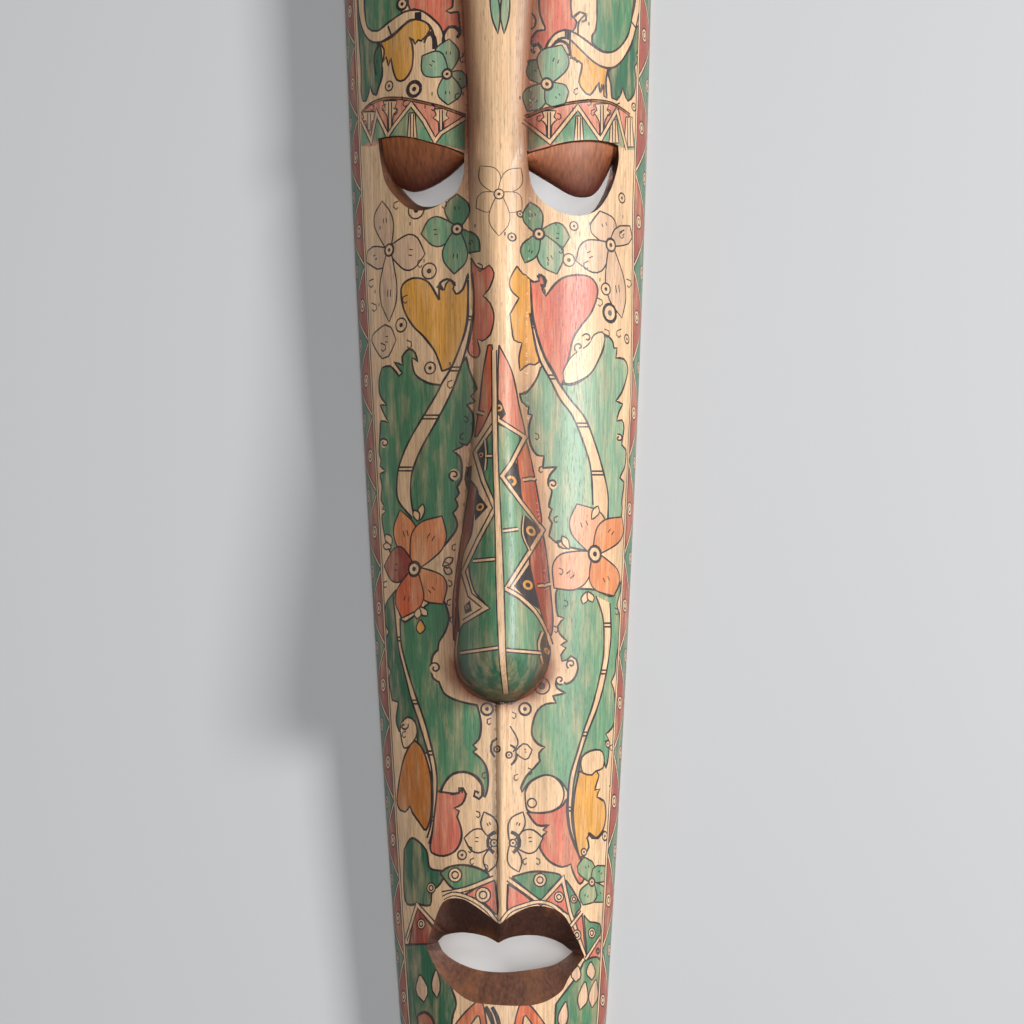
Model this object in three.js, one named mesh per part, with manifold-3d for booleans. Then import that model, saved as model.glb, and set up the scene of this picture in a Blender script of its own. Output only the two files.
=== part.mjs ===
// A long carved wooden face mask, one piece of wood, lying face up on the flat rim of its hollow back.
// Millimetres. x runs across the face, y from the chin to the crown, z out of the face. The rim lies at z = 0.

import * as THREE from "three";
import { mergeVertices } from "three/addons/utils/BufferGeometryUtils.js";
import Module from "manifold-3d";

const wasm = await Module();
wasm.setup();

// The block: its length, how wide it is, and how its two ends are rounded off
const LENGTH = 1000;
const CROWN_Y = LENGTH / 2;
const CHIN_Y = -LENGTH / 2;
const MIDDLE_HALF_WIDTH = 96.4;
const HALF_WIDTH_GAIN = 0.0489; // mm for each mm nearer the crown
const HALF_WIDTH_BEND = 2.77e-5; // how that gain eases off
const CROWN_ROUND = 110;
const CHIN_ROUND = 54;
const END_POWER = 2.2; // a little squarer than an ellipse
const BULGE = 0.78; // height of the cross-section over its half width
const TINY = 1e-6; // keeps a division by the width possible at the very tips

// The hollow back
const RIM_WIDTH = 13;
const WALL = 15;
const CUT_BELOW = 10; // how far a cutting shape runs on past the face it opens

// The ridge down the middle: a column on the forehead that turns into the nose.
// Each station is its place along y, half its width, and its height over the face.
const RIDGE = [
  [440, 46, 0],
  [330, 32, 5],
  [233, 24.3, 9],
  [164, 20.8, 12],
  [82, 20.1, 16],
  [0, 17.5, 21],
  [-42, 17.3, 26],
  [-75, 20, 30],
  [-108, 23.9, 34],
  [-142, 27.2, 38],
  [-175, 29.8, 42],
  [-204, 31.1, 45],
];
const NOSE_BULB_Y = -210;
const NOSE_BULB_RADIUS = 31.2;
const NOSE_UNDER_Y = NOSE_BULB_Y - NOSE_BULB_RADIUS;
const NOSE_HEIGHT = 45;
const NOSE_UNDER_POWER = 2.4; // how blunt the nose is underneath
const RIDGE_FLANK = 0.6; // how steeply the ridge's flanks drop
const RIDGE_LIMIT = 0.42; // the ridge takes at most this share of half the face's width
const PHILTRUM_HALF_WIDTH = 3.7;
const PHILTRUM_HEIGHT = 4;
const PHILTRUM_END_Y = -386;

// Each eye by its curves on the face, from the outer corner to the inner one: the brow's lower edge, which is the
// lid's upper edge, then the lid's lower edge, then the lower edge of the hole. The carver cut them by eye, so the
// two are not quite alike.
const EYES = [
  {
    brow: [[-82, 145], [-69, 144], [-58, 141], [-46, 136.5], [-34, 132], [-23, 127]],
    lid: [[-80, 125], [-69, 114], [-58, 108], [-46, 109.5], [-33, 116.5], [-22, 126]],
    hole: [[-82, 145], [-80, 128], [-76, 112], [-64, 96], [-53, 91], [-41, 93], [-29, 101], [-23.5, 113], [-23, 127]],
    narrowing: 10, // how much narrower and shorter the hole is at the back of the wall
    shortening: 5.5,
  },
  {
    brow: [[81.5, 139], [74, 140], [61, 139], [46, 136], [31, 131], [19, 127]],
    lid: [[78, 131], [73, 119.5], [67, 109], [60, 104], [49, 104], [34, 111.5], [19, 120]],
    hole: [[81.5, 139], [81.5, 127], [76, 108], [67, 93], [55, 87], [42, 88], [30, 94.5], [22, 106], [19, 127]],
    narrowing: 5,
    shortening: 1.5,
  },
];
const LID_STEP = 3; // from the brow's edge back to the lid
const LID_TURN = 8; // how much further back the lid's lower edge is
const LID_CURL = 1.7; // how late on its way down it turns back
const LID_THICKNESS = 8;
const LID_EDGE_THICKNESS = 5;
const LID_ROOT = 5; // how far the lid runs on into the wood round it
const LID_SAMPLES = 14;
const LID_STEPS_DOWN = 6;
const EYE_SAMPLES = 14;

// The brow band stands proud above each lid
const BROW_HEIGHT = 3;
const BROW_DEPTH = 27; // from its lower edge up to the line above it
const BROW_INNER_X = 20;
const BROW_OUTER_X = 92;
const BROW_FADE = 12;
const BROW_UNDERSIDE = 0.5; // how far below its lower edge it fades out, as a share of its depth

// The mouth: a bevelled opening. The outer edge of the bevel on the face, then the edge of the hole behind it.
// Both run from the left corner over the dip in the upper lip to the right corner, and back along the lower lip.
const LIP_LEFT = [[-51, -400], [-46, -386], [-39, -371], [-28, -369], [-18, -374], [-2, -386]];
const LIP_RIGHT = [[-2, -386], [8, -379], [19, -374.5], [30, -375], [40, -380], [47, -392], [54, -407]];
const LIP_LOWER = [[54, -407], [44, -420], [37, -431], [20, -438.5], [-9, -438], [-25, -434], [-41, -419], [-51, -400]];
const HOLE_LEFT = [[-43, -396.5], [-38, -392.5], [-26, -391], [-12, -393.5], [-3, -398]];
const HOLE_RIGHT = [[-3, -398], [5, -394.5], [16, -393], [27, -394], [38, -398], [46, -404]];
const HOLE_LOWER = [[46, -404], [40, -409], [30, -413.5], [5, -417], [-14, -416], [-29, -411], [-39, -404], [-43, -396.5]];
const UPPER_LIP_SAMPLES = 8;
const LOWER_LIP_SAMPLES = 14;
const CUT_ABOVE = 0.7; // how far a cutting shape runs on above the face, as a share of the wall
const CUT_BEHIND = 3; // how far its slanted sides run on behind the wall before they turn straight down

// How finely the outside and the hollow are faceted
const ENDS = { crown: 8, chin: 6 };
const ROW_STEP = 18;
const BROW_ROWS = { from: 112, to: 186, step: 7.4 };
const NOSE_ROWS = { from: NOSE_UNDER_Y - 1.2, to: -196, step: 3.9 };
const LAST_ROW = 0.995; // how far into an end the last row lies
const RIDGE_SHARES = [0, 0.35, 0.62, 0.82, 0.94, 1];
const RIDGE_FOOT = 1.2;
const RIDGE_FOOT_LIMIT = 0.5; // the foot's line stays inside this share of half the width
const SIDE_STEPS = 10;
const HOLLOW_ROW_STEP = 34;
const HOLLOW_COLUMNS = 16;
const HOLLOW_END_GAP = 0.3; // from the hollow's first and last rows to its tips
const HOLLOW_CROWDING = 0.8; // how much closer together its rows stand at the two ends
const MERGE_WITHIN = 1e-4; // points closer than this are one

// Half the block's width at y, between two given ends that are rounded off by their own lengths
function halfWidth(y, inset = 0) {
  return (sideAt(y) - (inset ? RIM_WIDTH : 0)) * endShare(y, inset);
}

// Half the width at y if the sides ran on and the ends were not rounded off
function sideAt(y) {
  return MIDDLE_HALF_WIDTH + HALF_WIDTH_GAIN * y - HALF_WIDTH_BEND * y * y;
}

// 1 along the block, falling to 0 at its two ends
function endShare(y, inset = 0) {
  const intoCrown = (y - (CROWN_Y - CROWN_ROUND)) / (CROWN_ROUND - inset);
  const intoChin = (CHIN_Y + CHIN_ROUND - y) / (CHIN_ROUND - inset);
  const into = THREE.MathUtils.clamp(Math.max(intoCrown, intoChin), 0, 1);
  return Math.pow(1 - Math.pow(into, END_POWER), 1 / END_POWER);
}

// Height of the plain rounded outside
function shellHeight(x, y) {
  const half = Math.max(halfWidth(y), TINY);
  const across = Math.min(Math.abs(x) / half, 1);
  return BULGE * half * Math.sqrt(1 - across * across);
}

// Half the ridge's width and its crest's height, read between the stations
function ridgeAt(y) {
  const last = RIDGE.length - 1;
  if (y >= RIDGE[0][0]) return { half: RIDGE[0][1], height: 0 };
  if (y <= RIDGE[last][0]) return { half: RIDGE[last][1], height: NOSE_HEIGHT };
  const next = RIDGE.findIndex(([stationY]) => stationY <= y);
  const [fromY, fromHalf, fromHeight] = RIDGE[next - 1];
  const [toY, toHalf, toHeight] = RIDGE[next];
  const share = (y - fromY) / (toY - fromY);
  return {
    half: THREE.MathUtils.lerp(fromHalf, toHalf, share),
    height: THREE.MathUtils.lerp(fromHeight, toHeight, share),
  };
}

// The nose ends in a round bulb that drops steeply to the lip
function noseAt(y) {
  if (y > NOSE_BULB_Y) return ridgeAt(y);
  const below = Math.min((NOSE_BULB_Y - y) / NOSE_BULB_RADIUS, 1);
  const left = 1 - Math.pow(below, NOSE_UNDER_POWER);
  return { half: NOSE_BULB_RADIUS * Math.sqrt(left), height: NOSE_HEIGHT * Math.pow(left, RIDGE_FLANK) };
}

// Half the width that the middle lines of the outside are spread over at y
function middleHalf(y) {
  const nose = noseAt(y);
  return Math.min(Math.max(nose.half, PHILTRUM_HALF_WIDTH), RIDGE_LIMIT * halfWidth(y));
}

function crest(across) {
  return Math.pow(1 - Math.min(across * across, 1), RIDGE_FLANK);
}

function ridgeHeight(x, y) {
  const nose = noseAt(y);
  const noseRise = nose.half > 0 ? nose.height * crest(x / middleHalf(y)) : 0;
  const onPhiltrum = y < NOSE_BULB_Y && y > PHILTRUM_END_Y - PHILTRUM_HEIGHT;
  const philtrumRise = onPhiltrum ? PHILTRUM_HEIGHT * crest(x / PHILTRUM_HALF_WIDTH) : 0;
  return Math.max(y < NOSE_UNDER_Y ? 0 : noseRise, philtrumRise);
}

// Where a curve given by points runs at x
function curveAt(points, x) {
  const ordered = [...points].sort((a, b) => a[0] - b[0]);
  const next = ordered.findIndex(([px]) => px >= x);
  if (next === 0) return ordered[0][1];
  if (next < 0) return ordered[ordered.length - 1][1];
  const [fromX, fromY] = ordered[next - 1];
  const [toX, toY] = ordered[next];
  return THREE.MathUtils.lerp(fromY, toY, (x - fromX) / (toX - fromX));
}

function browHeight(x, y) {
  const eye = x < 0 ? EYES[0] : EYES[1];
  const above = (y - curveAt(eye.brow, x)) / BROW_DEPTH;
  const fadeUp = THREE.MathUtils.smoothstep(1 - above, 0, 1);
  const fadeDown = THREE.MathUtils.smoothstep(above, -BROW_UNDERSIDE, 0);
  const upward = above >= 0 ? fadeUp : fadeDown;
  const inward = THREE.MathUtils.smoothstep(Math.abs(x), BROW_INNER_X - BROW_FADE, BROW_INNER_X);
  const outward = 1 - THREE.MathUtils.smoothstep(Math.abs(x), BROW_OUTER_X - BROW_FADE, BROW_OUTER_X);
  return BROW_HEIGHT * upward * inward * outward;
}

function faceHeight(x, y) {
  return shellHeight(x, y) + ridgeHeight(x, y) + browHeight(x, y);
}

// Closed loops of points, all alike in number, joined into one closed solid with a point at each end
function loft(loops, firstTip, lastTip) {
  const count = loops[0].length;
  const positions = loops.flat().flatMap((point) => point.toArray());
  const firstIndex = loops.length * count;
  positions.push(...firstTip.toArray(), ...lastTip.toArray());
  const faces = [];
  for (let i = 0; i < count; i++) {
    const j = (i + 1) % count;
    faces.push(firstIndex, j, i);
    for (let row = 0; row + 1 < loops.length; row++) {
      const near = row * count;
      const far = near + count;
      faces.push(near + i, near + j, far + j, near + i, far + j, far + i);
    }
    const end = (loops.length - 1) * count;
    faces.push(firstIndex + 1, end + i, end + j);
  }
  const geometry = new THREE.BufferGeometry();
  geometry.setAttribute("position", new THREE.Float32BufferAttribute(positions, 3));
  geometry.setIndex(volumeInside(positions, faces) < 0 ? faces.reverse() : faces);
  return solidOf(geometry);
}

// Six times the volume inside a closed mesh, negative where its faces point inwards
function volumeInside(positions, faces) {
  const corner = (index) => new THREE.Vector3().fromArray(positions, index * 3);
  let volume = 0;
  for (let i = 0; i < faces.length; i += 3) {
    volume += corner(faces[i]).dot(corner(faces[i + 1]).cross(corner(faces[i + 2])));
  }
  return volume;
}

function solidOf(geometry) {
  const merged = mergeVertices(geometry, MERGE_WITHIN);
  return new wasm.Manifold(
    new wasm.Mesh({
      numProp: 3,
      vertProperties: new Float32Array(merged.attributes.position.array),
      triVerts: new Uint32Array(merged.index.array),
    })
  );
}

function geometryOf(solid) {
  const mesh = solid.getMesh();
  const geometry = new THREE.BufferGeometry();
  geometry.setAttribute("position", new THREE.Float32BufferAttribute(mesh.vertProperties, 3));
  geometry.setIndex([...mesh.triVerts]);
  geometry.computeVertexNormals();
  return geometry;
}

// Rows along the block: close together in the rounded ends, at the brow and under the nose
function rowsAlong() {
  const rows = [];
  for (let i = 0; i <= ENDS.chin; i++) {
    const into = i === 0 ? LAST_ROW : Math.sin(((ENDS.chin - i) / ENDS.chin) * (Math.PI / 2));
    rows.push(CHIN_Y + CHIN_ROUND * (1 - into));
  }
  const endY = CROWN_Y - CROWN_ROUND;
  let y = rows[rows.length - 1];
  while (y < endY - ROW_STEP / 2) {
    const inNose = y >= NOSE_ROWS.from - NOSE_ROWS.step && y < NOSE_ROWS.to;
    const inBrow = y >= BROW_ROWS.from - BROW_ROWS.step && y < BROW_ROWS.to;
    const step = inNose ? NOSE_ROWS.step : inBrow ? BROW_ROWS.step : ROW_STEP;
    const nextFine = y < NOSE_ROWS.from - 1 ? NOSE_ROWS.from : y < BROW_ROWS.from - 1 ? BROW_ROWS.from : Infinity;
    y = step === ROW_STEP ? Math.min(y + step, nextFine) : y + step;
    rows.push(y);
  }
  for (let i = 0; i <= ENDS.crown; i++) {
    const into = i === ENDS.crown ? LAST_ROW : Math.sin((i / ENDS.crown) * (Math.PI / 2));
    rows.push(endY + CROWN_ROUND * into);
  }
  return [...new Set(rows.map((row) => Number(row.toFixed(3))))].sort((a, b) => a - b);
}

// Places across the block at y, from its left rim to its right one: the ridge has lines of its own
function placesAcross(y) {
  const half = halfWidth(y);
  const middle = middleHalf(y);
  const foot = Math.min(middle + RIDGE_FOOT, RIDGE_FOOT_LIMIT * half);
  const right = RIDGE_SHARES.map((share) => share * middle);
  const footAngle = Math.acos(foot / half);
  for (let i = 0; i <= SIDE_STEPS; i++) {
    right.push(half * Math.cos(footAngle * (1 - i / SIDE_STEPS)));
  }
  return [...right.slice(1).reverse().map((x) => -x), ...right];
}

function outside() {
  const loops = rowsAlong().map((y) => placesAcross(y).map((x) => new THREE.Vector3(x, y, faceHeight(x, y))));
  for (const loop of loops) {
    loop[0].z = 0;
    loop[loop.length - 1].z = 0;
  }
  return loft(loops, new THREE.Vector3(0, CHIN_Y, 0), new THREE.Vector3(0, CROWN_Y, 0));
}

// The hollow follows the outside at the wall's thickness and runs out through the back
function hollow() {
  const from = CHIN_Y + WALL;
  const to = CROWN_Y - WALL;
  const rows = Math.round((to - from) / HOLLOW_ROW_STEP);
  const loops = [];
  for (let row = 0; row <= rows; row++) {
    const crowded = (1 - Math.cos((row / rows) * Math.PI)) / 2;
    const along = THREE.MathUtils.lerp(row / rows, crowded, HOLLOW_CROWDING);
    const y = THREE.MathUtils.lerp(from + HOLLOW_END_GAP, to - HOLLOW_END_GAP, along);
    const half = halfWidth(y, WALL);
    const depth = (BULGE * sideAt(y) - WALL) * endShare(y, WALL);
    const loop = [];
    for (let i = 0; i <= HOLLOW_COLUMNS; i++) {
      const angle = Math.PI * (1 - i / HOLLOW_COLUMNS);
      loop.push(new THREE.Vector3(half * Math.cos(angle), y, depth * Math.sin(angle)));
    }
    loop.push(new THREE.Vector3(half, y, -CUT_BELOW), new THREE.Vector3(-half, y, -CUT_BELOW));
    loops.push(loop);
  }
  return loft(loops, new THREE.Vector3(0, from, -CUT_BELOW / 2), new THREE.Vector3(0, to, -CUT_BELOW / 2));
}

// Points evenly along a smooth curve through the given ones, without the last
function evenly(points, samples) {
  const curve = new THREE.SplineCurve(points.map(([x, y]) => new THREE.Vector2(x, y)));
  return curve.getSpacedPoints(samples).slice(0, samples);
}

// A cutting shape that goes through the wall from a loop on the face to a loop at the back of the wall
function cutterThrough(faceLoop, backLoop) {
  const onFace = faceLoop.map((p) => new THREE.Vector3(p.x, p.y, faceHeight(p.x, p.y)));
  const atBack = backLoop.map((p) => new THREE.Vector3(p.x, p.y, shellHeight(p.x, p.y) - WALL - CUT_BEHIND));
  const above = onFace.map((p, i) => p.clone().lerp(atBack[i], -CUT_ABOVE));
  const below = atBack.map((p) => new THREE.Vector3(p.x, p.y, -CUT_BELOW));
  const top = middleOf(above);
  top.z = Math.max(...above.map((p) => p.z)) + WALL;
  return loft([below, atBack, onFace, above], middleOf(below), top);
}

function middleOf(loop) {
  return loop.reduce((sum, p) => sum.add(p), new THREE.Vector3()).divideScalar(loop.length);
}

function eyeCutter(eye) {
  const browSide = evenly([...eye.brow].reverse(), EYE_SAMPLES);
  const holeSide = evenly(eye.hole, EYE_SAMPLES * 2);
  const faceLoop = [...browSide, ...holeSide];
  const [innerX, browY] = eye.brow[eye.brow.length - 1];
  const outerX = eye.brow[0][0];
  const lowest = Math.min(...eye.hole.map((p) => p[1]));
  const narrow = 1 - eye.narrowing / Math.abs(outerX - innerX);
  const shorten = 1 - eye.shortening / (browY - lowest);
  const backLoop = faceLoop.map((p) => {
    const y = p.y < browY ? browY + (p.y - browY) * shorten : p.y;
    return new THREE.Vector2(innerX + (p.x - innerX) * narrow, y);
  });
  return cutterThrough(faceLoop, backLoop);
}

// A drooping upper lid: a rounded plate from under the brow down to its own edge in the hole
function eyelid(eye) {
  const top = evenly(eye.brow, LID_SAMPLES).concat(new THREE.Vector2(...eye.brow[eye.brow.length - 1]));
  const edge = evenly(eye.lid, LID_SAMPLES).concat(new THREE.Vector2(...eye.lid[eye.lid.length - 1]));
  const side = Math.sign(eye.brow[0][0]);
  const stations = top.map((p, i) => ({ top: p, edge: edge[i] }));
  const rootAt = (station, shift) => ({
    top: new THREE.Vector2(station.top.x + shift, station.top.y),
    edge: new THREE.Vector2(station.edge.x + shift, station.edge.y),
  });
  stations.unshift(rootAt(stations[0], side * LID_ROOT));
  stations.push(rootAt(stations[stations.length - 1], -side * LID_ROOT));
  const loops = stations.map((station) => {
    const front = [];
    const back = [];
    for (let i = -1; i <= LID_STEPS_DOWN; i++) {
      const down = Math.max(i, 0) / LID_STEPS_DOWN;
      const spot = station.top.clone().lerp(station.edge, down);
      const rootY = i < 0 ? LID_ROOT : 0;
      const drop = LID_STEP + LID_TURN * Math.pow(down, LID_CURL);
      const thickness = THREE.MathUtils.lerp(LID_THICKNESS, LID_EDGE_THICKNESS, down);
      const z = shellHeight(spot.x, spot.y) - drop;
      front.push(new THREE.Vector3(spot.x, spot.y + rootY, z));
      back.unshift(new THREE.Vector3(spot.x, spot.y + rootY, z - thickness));
    }
    return [...front, ...back];
  });
  return loft(loops, middleOf(loops[0]), middleOf(loops[loops.length - 1]));
}

function mouthCutter() {
  const lips = [
    ...evenly(LIP_LEFT, UPPER_LIP_SAMPLES),
    ...evenly(LIP_RIGHT, UPPER_LIP_SAMPLES),
    ...evenly(LIP_LOWER, LOWER_LIP_SAMPLES),
  ];
  const hole = [
    ...evenly(HOLE_LEFT, UPPER_LIP_SAMPLES),
    ...evenly(HOLE_RIGHT, UPPER_LIP_SAMPLES),
    ...evenly(HOLE_LOWER, LOWER_LIP_SAMPLES),
  ];
  return cutterThrough(lips, hole);
}

let wood = outside().subtract(hollow()).subtract(mouthCutter());
for (const eye of EYES) {
  wood = wood.subtract(eyeCutter(eye)).add(eyelid(eye));
}

// Soft pale wood, stained and varnished
const material = new THREE.MeshStandardMaterial({ color: 0xc9a877, roughness: 0.42, metalness: 0 });
const mask = new THREE.Mesh(geometryOf(wood), material);
mask.name = "mask";

const model = new THREE.Group();
model.add(mask);

export default model;
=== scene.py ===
# %% [markdown]
# # A long wooden face mask, carved, stained and drawn on
#
# The real mask is one billet of pale soft wood about a metre long. The carver shaped a long rounded face,
# hollowed the back, and cut the eyes and the mouth right through. A second hand drew vines, hearts and
# flowers on it in dark ink, filled them with thin wood stain, and varnished it all. This lesson builds that
# piece of wood as one mesh.
#
# We begin by loading the plain model that the mask has to fit, and read the mask's length from its box.

# %% Load the model to dress
import math

import bpy
import numpy as np
from mathutils import Matrix, Vector
from mathutils.geometry import delaunay_2d_cdt


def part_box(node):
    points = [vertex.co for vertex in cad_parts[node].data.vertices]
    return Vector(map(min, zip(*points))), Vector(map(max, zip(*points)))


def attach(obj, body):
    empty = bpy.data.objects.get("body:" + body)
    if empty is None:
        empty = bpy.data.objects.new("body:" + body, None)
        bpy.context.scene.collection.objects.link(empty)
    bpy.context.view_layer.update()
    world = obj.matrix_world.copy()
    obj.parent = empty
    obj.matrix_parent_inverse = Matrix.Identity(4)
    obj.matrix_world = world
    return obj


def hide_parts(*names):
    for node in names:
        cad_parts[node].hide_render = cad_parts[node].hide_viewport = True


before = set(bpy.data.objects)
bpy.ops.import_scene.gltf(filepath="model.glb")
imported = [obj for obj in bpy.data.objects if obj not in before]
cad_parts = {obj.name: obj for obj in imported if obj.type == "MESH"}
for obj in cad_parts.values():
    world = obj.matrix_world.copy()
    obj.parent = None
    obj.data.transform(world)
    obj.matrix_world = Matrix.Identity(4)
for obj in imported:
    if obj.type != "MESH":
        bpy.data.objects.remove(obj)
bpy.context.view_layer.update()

MM = 0.001  # the shapes below are worked out in millimetres and Blender wants metres
lowest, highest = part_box("mask")
LENGTH = round((highest[1] - lowest[1]) / MM)
CROWN_Y = LENGTH / 2
CHIN_Y = -LENGTH / 2
print(f"The mask is {LENGTH} mm long and {(highest[0] - lowest[0]) / MM:.0f} mm wide")

# %% [markdown]
# ## The plain rounded face
#
# Every cross-section of the face is half an ellipse, and the sides widen gently towards the crown. Two
# rounded ends close it. A carver works the same way: first the outline on the plank, then one even curve
# from rim to rim. All the functions here take whole arrays of places at once, because numpy is quick at
# that.

# %% Outline and cross-section
MIDDLE_HALF_WIDTH = 96.4
HALF_WIDTH_GAIN = 0.0489  # mm for each mm nearer the crown
HALF_WIDTH_BEND = 2.77e-5  # how that gain eases off
CROWN_ROUND = 110
CHIN_ROUND = 54
END_POWER = 2.2  # a little squarer than an ellipse
BULGE = 0.78  # height of the cross-section over its half width
TINY = 1e-6


def side_at(y):
    """Half the width at y if the sides ran on and the ends were not rounded off."""
    return MIDDLE_HALF_WIDTH + HALF_WIDTH_GAIN * y - HALF_WIDTH_BEND * y * y


def end_share(y, inset=0):
    """1 along the block, falling to 0 at its two ends."""
    into_crown = (y - (CROWN_Y - CROWN_ROUND)) / (CROWN_ROUND - inset)
    into_chin = (CHIN_Y + CHIN_ROUND - y) / (CHIN_ROUND - inset)
    into = np.clip(np.maximum(into_crown, into_chin), 0, 1)
    return (1 - into**END_POWER) ** (1 / END_POWER)


def half_width(y):
    return side_at(y) * end_share(y)


def shell_height(x, y):
    half = np.maximum(half_width(y), TINY)
    across = np.clip(np.abs(x) / half, 0, 1)
    return BULGE * half * np.sqrt(1 - across**2)


print(f"Half width at the crown line {half_width(256.0):.1f} mm, at the mouth {half_width(-400.0):.1f} mm")

# %% [markdown]
# ## The column, the nose and its bulb
#
# A ridge runs down the middle: a broad column on the forehead that narrows between the eyes, swells into
# the nose and ends in a round bulb over the lip. It is given by a few stations, and smoothing the line
# through them gives the easy curve that a spokeshave leaves. Under the bulb a thin ridge runs on down to
# the mouth.

# %% The ridge
RIDGE = [  # place along y, half the width there, height over the face
    (440, 46, 0), (330, 32, 5), (233, 24.3, 9), (164, 20.8, 12), (82, 20.1, 16), (0, 17.5, 21),
    (-42, 17.3, 26), (-75, 20, 30), (-108, 23.9, 34), (-142, 27.2, 38), (-175, 29.8, 42), (-204, 31.1, 45),
]
NOSE_BULB_Y = -210
NOSE_BULB_RADIUS = 31.2
NOSE_UNDER_Y = NOSE_BULB_Y - NOSE_BULB_RADIUS
NOSE_UNDER_POWER = 2.4  # how blunt the nose is underneath
RIDGE_FLANK = 0.6  # how steeply the ridge's flanks drop
RIDGE_LIMIT = 0.42  # the ridge takes at most this share of half the face's width
RIDGE_SMOOTHING = 36  # mm along the ridge
PHILTRUM_HALF_WIDTH = 3.7
PHILTRUM_HEIGHT = 4
PHILTRUM_END_Y = -386

RIDGE_YS = np.arange(CHIN_Y, CROWN_Y + 1)


def smoothed(column):
    """One column of the stations, read every millimetre and smoothed along the ridge."""
    stations = RIDGE[::-1]
    values = np.interp(RIDGE_YS, [s[0] for s in stations], [s[column] for s in stations])
    window = np.hanning(RIDGE_SMOOTHING + 3)[1:-1]
    padded = np.pad(values, RIDGE_SMOOTHING // 2, mode="edge")
    return np.convolve(padded, window / window.sum(), mode="valid")


RIDGE_HALVES = smoothed(1)
RIDGE_HEIGHTS = smoothed(2)


def nose_at(y):
    """Half the ridge's width and its height at y, with the bulb that closes it below."""
    below = np.clip((NOSE_BULB_Y - y) / NOSE_BULB_RADIUS, 0, 1)
    left = 1 - below**NOSE_UNDER_POWER
    half = np.interp(np.maximum(y, NOSE_BULB_Y), RIDGE_YS, RIDGE_HALVES)
    height = np.interp(np.maximum(y, NOSE_BULB_Y), RIDGE_YS, RIDGE_HEIGHTS)
    return half * np.sqrt(left), height * left**RIDGE_FLANK


def middle_half(y):
    return np.minimum(np.maximum(nose_at(y)[0], PHILTRUM_HALF_WIDTH), RIDGE_LIMIT * half_width(y) + TINY)


def crest(across):
    return (1 - np.clip(across**2, 0, 1)) ** RIDGE_FLANK


def ridge_height(x, y):
    nose = np.where(y < NOSE_UNDER_Y, 0, nose_at(y)[1] * crest(x / middle_half(y)))
    on_philtrum = (y < NOSE_BULB_Y) & (y > PHILTRUM_END_Y - PHILTRUM_HEIGHT)
    philtrum = np.where(on_philtrum, PHILTRUM_HEIGHT * crest(x / PHILTRUM_HALF_WIDTH), 0)
    return np.maximum(nose, philtrum)


print(f"The nose stands {ridge_height(0.0, -200.0):.0f} mm over the face")

# %% [markdown]
# ## Eyes and brows
#
# Each eye is a drooping lid set back under the brow, with an open slit below it, and the brow stands a
# little proud above the lid. The carver cut the two by eye, so they are not quite alike. A curve through a
# few points is enough for each edge. It is a Catmull-Rom spline, which passes through every point it is
# given.

# %% Curves through points
def spline(points, step):
    """A smooth curve through the points, sampled about every step. A point given twice is a sharp corner."""
    points = [np.array(p, float) for p in points]
    spans = [[points[0]]]
    for before, after in zip(points, points[1:]):
        if np.array_equal(before, after):
            spans.append([])
        spans[-1].append(after)
    samples = []
    for span in spans:
        padded = [span[0], *span, span[-1]]
        for a, b, c, d in zip(padded, padded[1:], padded[2:], padded[3:]):
            count = max(int(np.hypot(*(c - b)) / step), 1)
            for t in np.arange(count) / count:
                turn = (c - a) / 2
                leave = (d - b) / 2
                rise = c - b
                bend = 3 * rise - 2 * turn - leave
                twist = turn + leave - 2 * rise
                samples.append(b + t * turn + t * t * bend + t**3 * twist)
    samples.append(points[-1])
    return np.array(samples)


# %% The eyes
EYES = [
    {
        "brow": [(-82, 145), (-69, 144), (-58, 141), (-46, 136.5), (-34, 132), (-23, 127)],
        "lid": [(-80, 125), (-69, 114), (-58, 108), (-46, 109.5), (-33, 116.5), (-22, 126)],
        "hole": [(-82, 145), (-80, 128), (-76, 112), (-64, 96), (-53, 91), (-41, 93), (-29, 101),
                 (-23.5, 113),
                 (-23, 127)],
        "narrowing": 10,
        "shortening": 5.5,
    },
    {
        "brow": [(81.5, 139), (74, 140), (61, 139), (46, 136), (31, 131), (19, 127)],
        "lid": [(78, 131), (73, 119.5), (67, 109), (60, 104), (49, 104), (34, 111.5), (19, 120)],
        "hole": [(81.5, 139), (81.5, 127), (76, 108), (67, 93), (55, 87), (42, 88), (30, 94.5), (22, 106),
                 (19, 127)],
        "narrowing": 5,
        "shortening": 1.5,
    },
]
EDGE_STEP = 1.6  # mm between the points of a carved edge

for eye in EYES:
    eye["brow_curve"] = spline(eye["brow"], EDGE_STEP)
    eye["lid_curve"] = spline(eye["lid"], EDGE_STEP)
    eye["loop"] = np.vstack([eye["brow_curve"][::-1][:-1], spline(eye["hole"], EDGE_STEP)[:-1]])
print("Points round each eye:", [len(eye["loop"]) for eye in EYES])

# %% The brow band, and the two lines cut above it
BROW_HEIGHT = 3
BROW_DEPTH = 27
BROW_INNER_X = 20
BROW_OUTER_X = 92
BROW_FADE = 12
BROW_UNDERSIDE = 0.5
BROW_LINES = [
    spline([(-97, 165), (-89, 170), (-83, 171.7), (-75, 171.5), (-64, 169), (-53, 165), (-38, 160),
            (-22, 153)], 2),
    spline([(18, 151), (28, 156), (36, 159), (46, 163), (57, 166), (67, 167.5), (76, 168), (83, 166),
            (92, 162)], 2),
]
GROOVE_DEPTH = 0.7
GROOVE_HALF_WIDTH = 1.1


def smoothstep(value, low, high):
    share = np.clip((value - low) / (high - low), 0, 1)
    return share * share * (3 - 2 * share)


def curve_at(points, x):
    ordered = points[np.argsort(points[:, 0])]
    return np.interp(x, ordered[:, 0], ordered[:, 1])


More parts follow.
